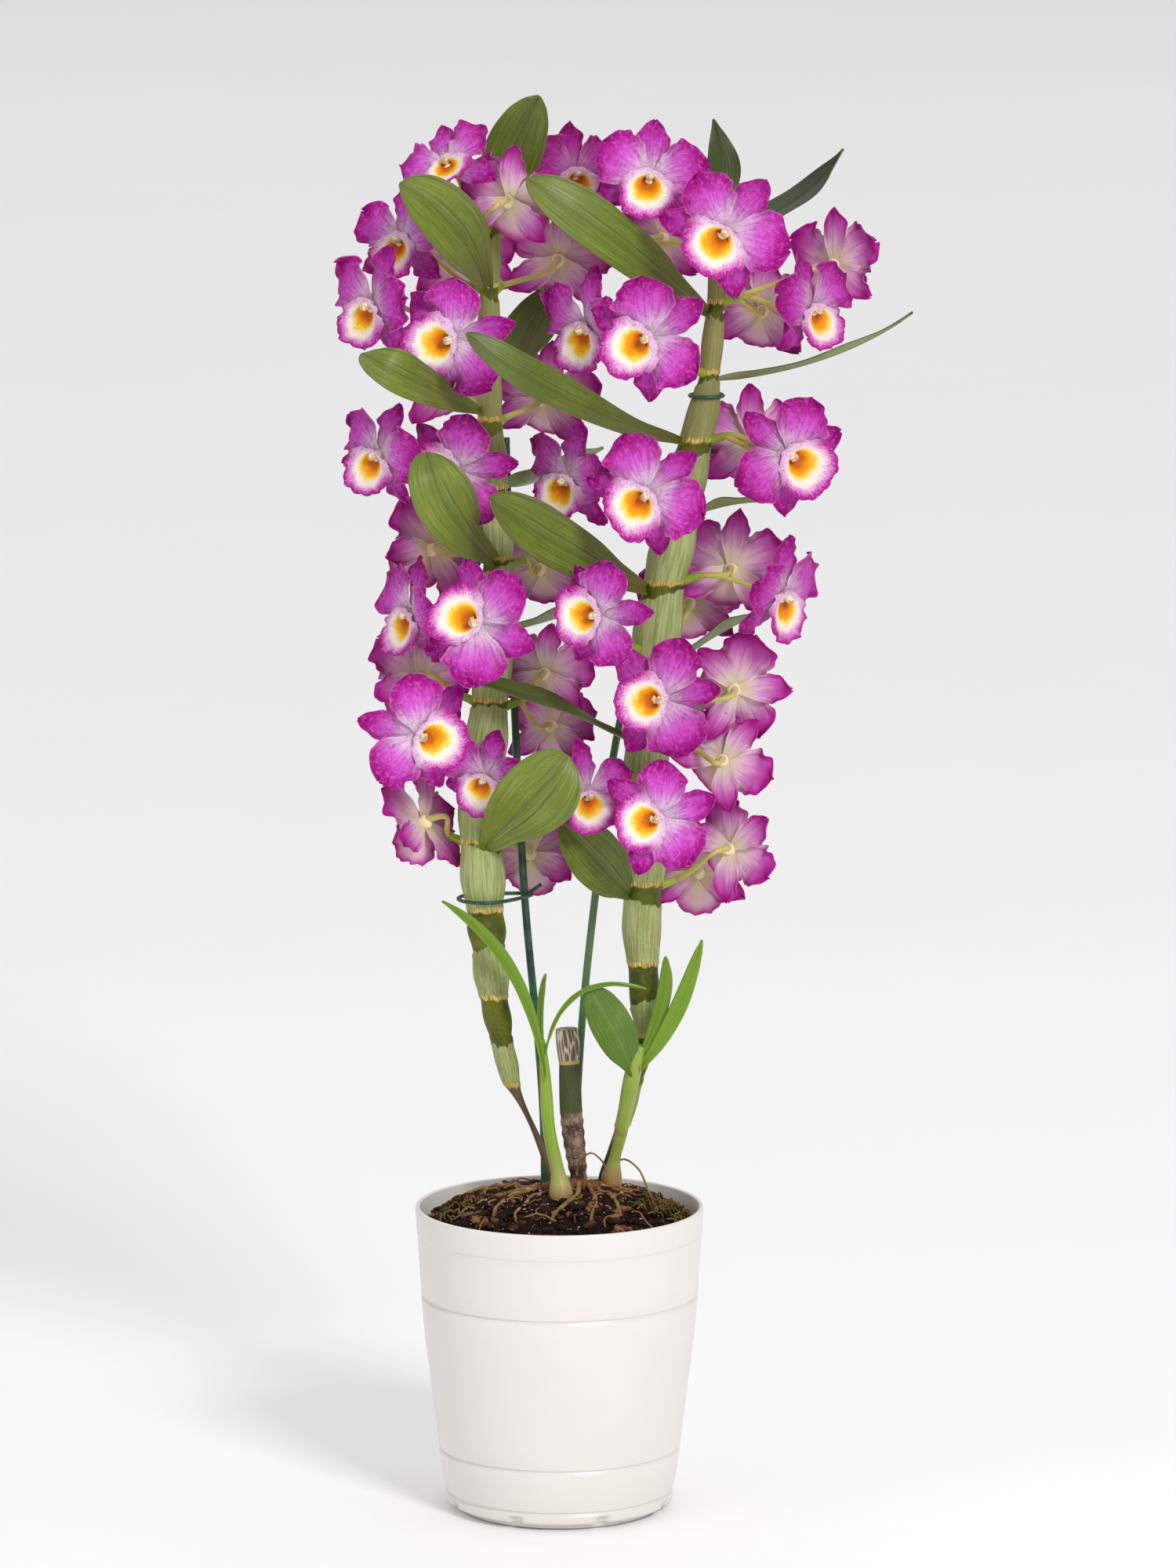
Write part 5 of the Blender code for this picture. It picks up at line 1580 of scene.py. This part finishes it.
def leaf_grid(spots, width, facing, size, fold, wave, seed, outline=LEAF_OUTLINE):
    """Points of a leaf blade along a curve, with its upper face turned to facing."""
    facing = unit(np.asarray(facing, float))
    rows, columns = size
    t = np.linspace(0, 1, rows)
    s = np.linspace(-1, 1, columns)
    line = np.stack([bend(*spots, share) for share in t])
    ahead = unit(np.gradient(line, axis=0))
    across = unit(np.cross(ahead, facing))
    normal = unit(np.cross(across, ahead))
    half = width * 0.5 * np.maximum(curve_at(outline, t), 0.03)
    grid = line[:, None] + across[:, None] * (s[None, :, None] * half[:, None, None])
    trough = fold * 2.0 * (1 + 2.5 * (1 - ease(0.0, 0.18, t)))
    rise = trough[:, None] * half[:, None] * (0.35 * np.abs(s) + 0.65 * s**2)[None]
    right = np.sin(t * 13 + seed)[:, None] * (s > 0)[None]
    left = np.sin(t * 11 + seed * 2)[:, None] * (s <= 0)[None]
    ripple = wave * np.abs(s)[None] ** 3 * (right + left)
    rib = -0.35 * bell(s, 0.1)[None] * ease(0, 0.1, t)[:, None]
    grid = grid + normal[:, None] * (rise + ripple + rib)[..., None]
    u, v = np.meshgrid((s + 1) / 2, t)
    return grid, np.stack([u, v], -1)


def build_leaf(index, row):
    """A leaf of a cane, from inside its node over the bow to its tip."""
    name, cane, z, azimuth, bow, tip, width, facing = row
    start = on_cane(cane, z, azimuth, -0.6)
    seat = on_cane(cane, z, azimuth, 1.1)
    end = np.asarray(tip, float)
    middle = (seat + end) * 0.5 + np.asarray(bow, float)
    outline = POINTED_OUTLINE if name in POINTED else LEAF_OUTLINE
    grid, uv = leaf_grid((start, middle, end), width, facing, LEAF_SIZE, 0.10, 0.5, index * 1.7, outline)
    tone, purple = LEAF_TONES.get(name, MIDDLE_TONE)
    rows, columns = LEAF_SIZE
    thin_edge = 1 - 0.5 * np.abs(np.linspace(-1, 1, columns))[None] ** 2 + np.zeros((rows, 1))
    shape = Shape()
    shape.blade(grid, uv, looks().leaf_thickness / MM * thin_edge, (0, 1, 0), tone=tone, mark=purple)
    place_piece(shape, f"blade_{name}", "leaf_green", name, "leaf_front", "leaf_back")


def build_shoot(name, node, line, pale, base, leaves, seed):
    """A young growth: its stem, pale towards the foot with a brown base, and its narrow leaves."""
    shape = Shape()
    shape.tube(line[:, :3], line[:, 3], 20, 0, mark=pale, ring=base)
    thickness = np.full(SHOOT_LEAF_SIZE, SHOOT_LEAF_THICKNESS)
    for index, (*spots, width, facing, tone) in enumerate(leaves):
        spots = [np.asarray(spot, float) for spot in spots]
        grid, uv = leaf_grid(spots, width, facing, SHOOT_LEAF_SIZE, 0.14, 0.25, (index + seed) * 2.1)
        shape.blade(grid, uv, thickness, (1, 1, 1), tone=tone)
    place_piece(shape, name, "shoot_green", node, "shoot_skin", "shoot_leaf")


def build_front_shoot():
    """The bright growth at the front, with its swollen foot."""
    line = smooth_line(FRONT_SHOOT, 80)
    pale, base = 1 - ease(138.0, 158.0, line[:, 2]), 1 - ease(133.0, 142.0, line[:, 2])
    build_shoot("front_growth", "shoot_front", line, pale, base, FRONT_SHOOT_LEAVES, 0)


def build_right_shoot():
    """The paler growth in front of the right cane, with a ring on its stem."""
    line = smooth_line(RIGHT_SHOOT, 80)
    z = line[:, 2]
    pale = 0.35 + 0.5 * (1 - ease(136.0, 150.0, z))
    base = np.maximum(1 - ease(136.0, 147.0, z), bell(z - 157.5, 0.9))
    build_shoot("right_growth", "shoot_right", line, pale, base, RIGHT_SHOOT_LEAVES, 4)


# Stakes and ties


def loop_points(circles, z, steps, start):
    """An open loop drawn tight round upright rounds, given as x, y and radius."""
    points = []
    for index in range(steps + 1):
        angle = start + math.tau * index / (steps + LOOP_GAP)
        out = (math.cos(angle), math.sin(angle))
        x, y, radius = max(circles, key=lambda row: row[0] * out[0] + row[1] * out[1] + row[2])
        points.append((x + radius * out[0], y + radius * out[1], z))
    return points


def build_wire(name, points, steps, radius, sides, faded):
    """A coated wire along the points; it is faded in the higher part where that is asked."""
    line = smooth_line(points, steps)
    shape = Shape()
    shape.tube(line, radius, sides, 0, tone=0.8 * ease(150.0, 240.0, line[:, 2]) * faded)
    place_piece(shape, f"{name}_wire", "stake_green", name, "wire_coat")


def build_stakes():
    """Coated wire stakes and the ties that hold the canes to them."""
    for name, points in STAKES.items():
        build_wire(name, points, 160, STAKE_RADIUS, 16, name == "stake_right")
    for name, (z, start, cane, stake, tail) in TIES.items():
        clear = TIE_RADIUS + TIE_CLEAR
        circles = [(x, y, radius + clear) for x, y, radius in (cane, stake)]
        build_wire(name, loop_points(circles, z, 40, start) + tail, 120, TIE_RADIUS, 10, False)


# Blooms


def two_sided(right, left, s):
    """Values along a blade that differ on its two sides."""
    share = np.where(s > 0, 1.0, 0.0)[None]
    return right[:, None] * share + left[:, None] * (1 - share)


def tepal(shape, place, angle, length, width, outline, heights, ruffle, cup, luck, tone):
    """One sepal or petal as a thin blade, laid out from the heart outwards."""
    centre, right, up, forward = place
    rows, columns = TEPAL_SIZE
    steps = np.linspace(0, 1, rows)
    t = 0.45 * steps + 0.55 * np.sin(steps * math.pi / 2)
    s = np.sin(np.linspace(-1.25, 1.25, columns)) / math.sin(1.25)
    turn = math.radians(angle + luck.uniform(-4, 4))
    out = right * math.cos(turn) + up * math.sin(turn)
    across = right * math.sin(turn) - up * math.cos(turn)
    length = length * luck.uniform(0.96, 1.03)
    half = width * luck.uniform(0.84, 1.06) * 0.5 * np.maximum(curve_at(outline, t), 0.03)
    phase = luck.uniform(0, math.tau, 4)
    pitch = luck.uniform(9.0, 15.0, 4)
    edge = np.abs(s)[None] ** 2.5 * ease(0.12, 0.5, t)[:, None]
    waves = two_sided(np.sin(t * pitch[0] + phase[0]), np.sin(t * pitch[1] + phase[1]), s)
    small = two_sided(np.sin(t * pitch[2] * 2.3 + phase[2]), np.sin(t * pitch[3] * 2.3 + phase[3]), s)
    scallop = 1 + (0.05 * small + 0.06 * waves) * edge
    reach = (HUB_REACH + (length - HUB_REACH) * t)[:, None]
    twist = luck.uniform(-0.28, 0.28) * s[None] * (half * t)[:, None]
    sway = luck.uniform(-1.0, 1.0) * np.sin(t * math.pi)[:, None] + luck.uniform(-0.8, 0.8) * (t**2)[:, None]
    tip_wave = (np.sin(s * 4 + phase[2]) + 0.6 * np.sin(s * 9 + phase[3]))[None]
    tip_wave = tip_wave * ease(0.7, 1.0, t)[:, None] * 0.6
    keel = -0.35 * bell(s, 0.14)[None] * ease(0.05, 0.3, t)[:, None] * (1 - ease(0.8, 1.0, t))[:, None]
    height = curve_at(heights, t)[:, None] + cup * half[:, None] * (s**2)[None]
    height = height + ruffle * (waves + 0.35 * small) * edge + ruffle * 0.6 * tip_wave
    height = height + keel + twist + luck.uniform(-1.6, 1.6) * (t**2)[:, None]
    grid = (
        centre
        + out * (reach + tip_wave * 0.5)[..., None]
        + across * (s[None] * half[:, None] * scallop + sway)[..., None]
        + forward * height[..., None]
    )
    u, v = np.meshgrid((s + 1) / 2, t)
    thickness = looks().petal_thickness / MM * (1 - 0.4 * np.abs(s)[None] + 0.3 * (1 - t)[:, None])
    shape.blade(grid, np.stack([u, v], -1), thickness, (0, 1, 0), tone=tone)


def lip(shape, place, size, luck, tone):
    """The round lip: a funnel at the heart that opens to a ruffled disc."""
    centre, right, up, forward = place
    rows, columns = LIP_SIZE
    t = np.linspace(0, 1, rows)
    angle = -np.arange(columns) * math.tau / columns
    phase = luck.uniform(0, math.tau, 3)
    radius = looks().lip_radius / MM * size
    below = (1 - np.sin(angle)) * 0.5
    frill = ease(0.55, 1.0, t)[:, None]
    uneven = 0.05 * np.sin(2 * angle + phase[1]) + 0.05 * np.sin(3 * angle + phase[2])
    uneven = uneven + 0.03 * np.sin(5 * angle)
    crimp = np.sin(angle * 13 + phase[0]) + 0.6 * np.sin(angle * 21 + phase[1])
    reach = curve_at(LIP_REACH, t)[:, None] * radius * (0.93 + 0.12 * below)[None]
    reach = reach * (1 + uneven[None] * frill) * (1 + 0.025 * frill * crimp[None])
    shift = (curve_at(LIP_DROP, t) * size)[:, None]
    x = reach * np.cos(angle)[None]
    y = reach * np.sin(angle)[None] * (1 - 0.2 * t[:, None]) + shift
    hood = np.maximum(np.sin(angle), 0)[None] ** 2 * ease(0.4, 1.0, t)[:, None] * 1.2
    height = curve_at(LIP_HEIGHTS, t)[:, None] * size - 0.34 * (y - shift) * t[:, None] + hood
    waves = np.sin(angle * 9 + phase[0]) + 0.5 * np.sin(angle * 15 + phase[1])
    waves = waves + 0.35 * np.sin(angle * 24 + phase[2])
    height = height + 0.75 * size * frill**2 * waves[None]
    grid = centre + right * x[..., None] + up * y[..., None] + forward * height[..., None]
    u, v = np.meshgrid(np.arange(columns + 1) / columns, t)
    thickness = np.broadcast_to((0.7 - 0.3 * t)[:, None], (rows, columns))
    shape.blade(grid, np.stack([u, v], -1), thickness, (2, 3, 2), wrap=True, tone=tone)


def column(shape, place, size):
    """The club-shaped column over the lip's heart."""
    centre, right, up, forward = place
    rows = smooth_line([(0.0, y * size, z * size, r * size) for y, z, r in COLUMN], 18)
    line = centre + rows[:, :1] * right + rows[:, 1:2] * up + rows[:, 2:3] * forward
    shape.tube(line, rows[:, 3], 12, 4, mark=np.linspace(0, 1, 18))


def bloom(shape, row, start, luck, first):
    """One bloom with its chin and its arching stalk."""
    x, y, z, azimuth, elevation, roll, size = row
    centre = np.array([x, y, z], float)
    right, up, forward = bloom_frame(azimuth, elevation, roll)
    place = (centre, right, up, forward)
    # Tone is painted shade: more for blooms further back, with a random spread
    tone = min(1.0, max(0.0, 0.3 + (y + 18.0) / 70.0 + luck.uniform(-0.25, 0.25)))
    for angles, length, width, outline, heights, ruffle, cup in TEPALS:
        wide = getattr(looks(), width) / MM * size
        wave = looks().petal_ruffle / MM * size * ruffle
        lifts = [(t, height * size) for t, height in heights]
        for angle in angles:
            tepal(shape, place, angle, length * size, wide, outline, lifts, wave, cup, luck, tone)
    lip(shape, place, size, luck, tone)
    column(shape, place, size)
    chin = centre - up * 3.2 * size - forward * 3.4 * size
    back = centre - up * 1.6 * size - forward * 1.6 * size
    chin_line = smooth_line([centre + forward * 0.6, back, chin], 8)
    shape.tube(chin_line, np.array(CHIN_RADII) * size, 12, 3)
    back = centre - forward * 12.0 * size
    back[2] -= 1.0
    keys = [*[(*spot, 1.25) for spot in start], (*back, 1.2), (*(centre - forward * 4.0 * size), 1.5 * size)]
    keys.append((*(centre + forward * 1.4), 2.3 * size))
    line = smooth_line(keys, 30)
    t = np.linspace(0.0 if first else 0.25, 1, 30)
    shape.tube(line[:, :3], line[:, 3] * (1 + 0.08 * np.sin(t * 9)), 10, 5, mark=t)


def build_spray(number, row):
    """A stalk at a cane's node with its one to three blooms."""
    name, cane, z, azimuth, blooms = row
    luck = Luck(SPRAY_SEED + number)
    foot = on_cane(cane, z, azimuth, -0.8)
    joint = on_cane(cane, z, azimuth, 5.4) + np.array([0, 0, 2.0])
    shape = Shape()
    stem = smooth_line([(*foot, 2.2), (*((foot + joint) * 0.5), 1.8), (*joint, 1.7)], 8)
    shape.tube(stem[:, :3], stem[:, 3], 12, 5, mark=0.0)
    for index, bloom_row in enumerate(blooms):
        start = (joint + np.array([0.1, 0.0, 0.1]),) if index else (foot, joint)
        bloom(shape, bloom_row, start, luck, index == 0)
    place_piece(shape, f"blooms_{name}", "bloom_magenta", name, *BLOOM_MATERIALS)


# Stage


def build_stage():
    """Pale floor, soft white surroundings, studio lights and the camera."""
    shape = Shape()
    line = np.linspace(-FLOOR_HALF, FLOOR_HALF, 9)
    x, y = np.meshgrid(line, line)
    grid = np.stack([x, y, np.full_like(x, -FLOOR_DROP)], -1)
    shape.patch(grid, np.stack([x, y], -1) / (2 * FLOOR_HALF) + 0.5, 0)
    floor = link("floor", shape.make("floor", get("floor_paint")))
    world = bpy.data.worlds.new("studio")
    world.use_nodes = True
    background = world.node_tree.nodes["Background"]
    background.inputs[0].default_value = (1.0, 1.0, 1.0, 1.0)
    background.inputs[1].default_value = WORLD_STRENGTH
    scene = bpy.context.scene
    scene.world = world
    scene.view_settings.view_transform = "Standard"
    for name, spot, aim, size, power in LIGHTS:
        data = bpy.data.lights.new(name, "AREA")
        data.shape = "SQUARE"
        data.size = size
        data.energy = power
        light = link(name, data)
        light.location = spot
        light.rotation_euler = (Vector(aim) - Vector(spot)).to_track_quat("-Z", "Y").to_euler()
    data = bpy.data.cameras.new("camera")
    data.lens = CAMERA_LENS
    data.sensor_width = CAMERA_SENSOR
    data.clip_end = 50.0
    camera = link("camera", data)
    camera.location = CAMERA_SPOT
    camera.rotation_euler = (math.radians(90 - CAMERA_PITCH), 0, 0)
    scene.camera = camera


# Operators


class BuildOrchidPot(bpy.types.Operator):
    """Build the moulded pot"""

    bl_idname = "orchid.build_pot"
    bl_label = "Pot"

    def execute(self, context):
        build_pot()
        return {"FINISHED"}


class BuildOrchidMix(bpy.types.Operator):
    """Build the potting mix with its bark, fibres and moss"""

    bl_idname = "orchid.build_mix"
    bl_label = "Potting mix"

    def execute(self, context):
        build_mix()
        return {"FINISHED"}


class BuildOrchidRoots(bpy.types.Operator):
    """Build the rhizome and the surface roots"""

    bl_idname = "orchid.build_roots"
    bl_label = "Roots"

    def execute(self, context):
        build_roots()
        return {"FINISHED"}


class BuildOrchidCanes(bpy.types.Operator):
    """Build the two flowering canes and the old stub"""

    bl_idname = "orchid.build_canes"
    bl_label = "Canes"

    def execute(self, context):
        build_cane("left", SHEATHS_LEFT)
        build_cane("right", SHEATHS_RIGHT)
        build_old_cane()
        return {"FINISHED"}


class BuildOrchidShoots(bpy.types.Operator):
    """Build the two young growths"""

    bl_idname = "orchid.build_shoots"
    bl_label = "Young shoots"

    def execute(self, context):
        build_front_shoot()
        build_right_shoot()
        return {"FINISHED"}


class BuildOrchidStakes(bpy.types.Operator):
    """Build the wire stakes and ties"""

    bl_idname = "orchid.build_stakes"
    bl_label = "Stakes and ties"

    def execute(self, context):
        build_stakes()
        return {"FINISHED"}


class BuildOrchidLeaves(bpy.types.Operator):
    """Build the leaves of both canes"""

    bl_idname = "orchid.build_leaves"
    bl_label = "Leaves"

    def execute(self, context):
        for index, row in enumerate(LEAVES):
            build_leaf(index, row)
        return {"FINISHED"}


class BuildOrchidBlooms(bpy.types.Operator):
    """Build the bloom sprays"""

    bl_idname = "orchid.build_blooms"
    bl_label = "Blooms"

    def execute(self, context):
        for number, row in enumerate(SPRAYS):
            build_spray(number, row)
        return {"FINISHED"}


class BuildOrchidStage(bpy.types.Operator):
    """Build the floor, lights and camera"""

    bl_idname = "orchid.build_stage"
    bl_label = "Stage"

    def execute(self, context):
        build_stage()
        return {"FINISHED"}


STEPS = (
    BuildOrchidPot,
    BuildOrchidMix,
    BuildOrchidRoots,
    BuildOrchidCanes,
    BuildOrchidShoots,
    BuildOrchidStakes,
    BuildOrchidLeaves,
    BuildOrchidBlooms,
    BuildOrchidStage,
)


class OrchidPanel(bpy.types.Panel):
    """Lists the looks and the build steps in the sidebar"""

    bl_idname = "VIEW3D_PT_orchid"
    bl_label = "Orchid"
    bl_space_type = "VIEW_3D"
    bl_region_type = "UI"
    bl_category = "Orchid"

    def draw(self, context):
        layout = self.layout
        settings = context.scene.orchid_looks
        for name in settings.bl_rna.properties.keys():
            if name not in ("rna_type", "name"):
                layout.prop(settings, name)
        for step in STEPS:
            layout.operator(step.bl_idname)


CLASSES = (OrchidLooks, *STEPS, OrchidPanel)


def register():
    for found in CLASSES:
        bpy.utils.register_class(found)
    bpy.types.Scene.orchid_looks = bpy.props.PointerProperty(type=OrchidLooks)


def unregister():
    del bpy.types.Scene.orchid_looks
    for found in reversed(CLASSES):
        bpy.utils.unregister_class(found)


def main():
    register()
    bpy.ops.orchid.build_stage()
    bpy.ops.orchid.build_pot()
    bpy.ops.orchid.build_mix()
    bpy.ops.orchid.build_roots()
    bpy.ops.orchid.build_canes()
    bpy.ops.orchid.build_shoots()
    bpy.ops.orchid.build_stakes()
    bpy.ops.orchid.build_leaves()
    bpy.ops.orchid.build_blooms()


if __name__ == "__main__":
    main()
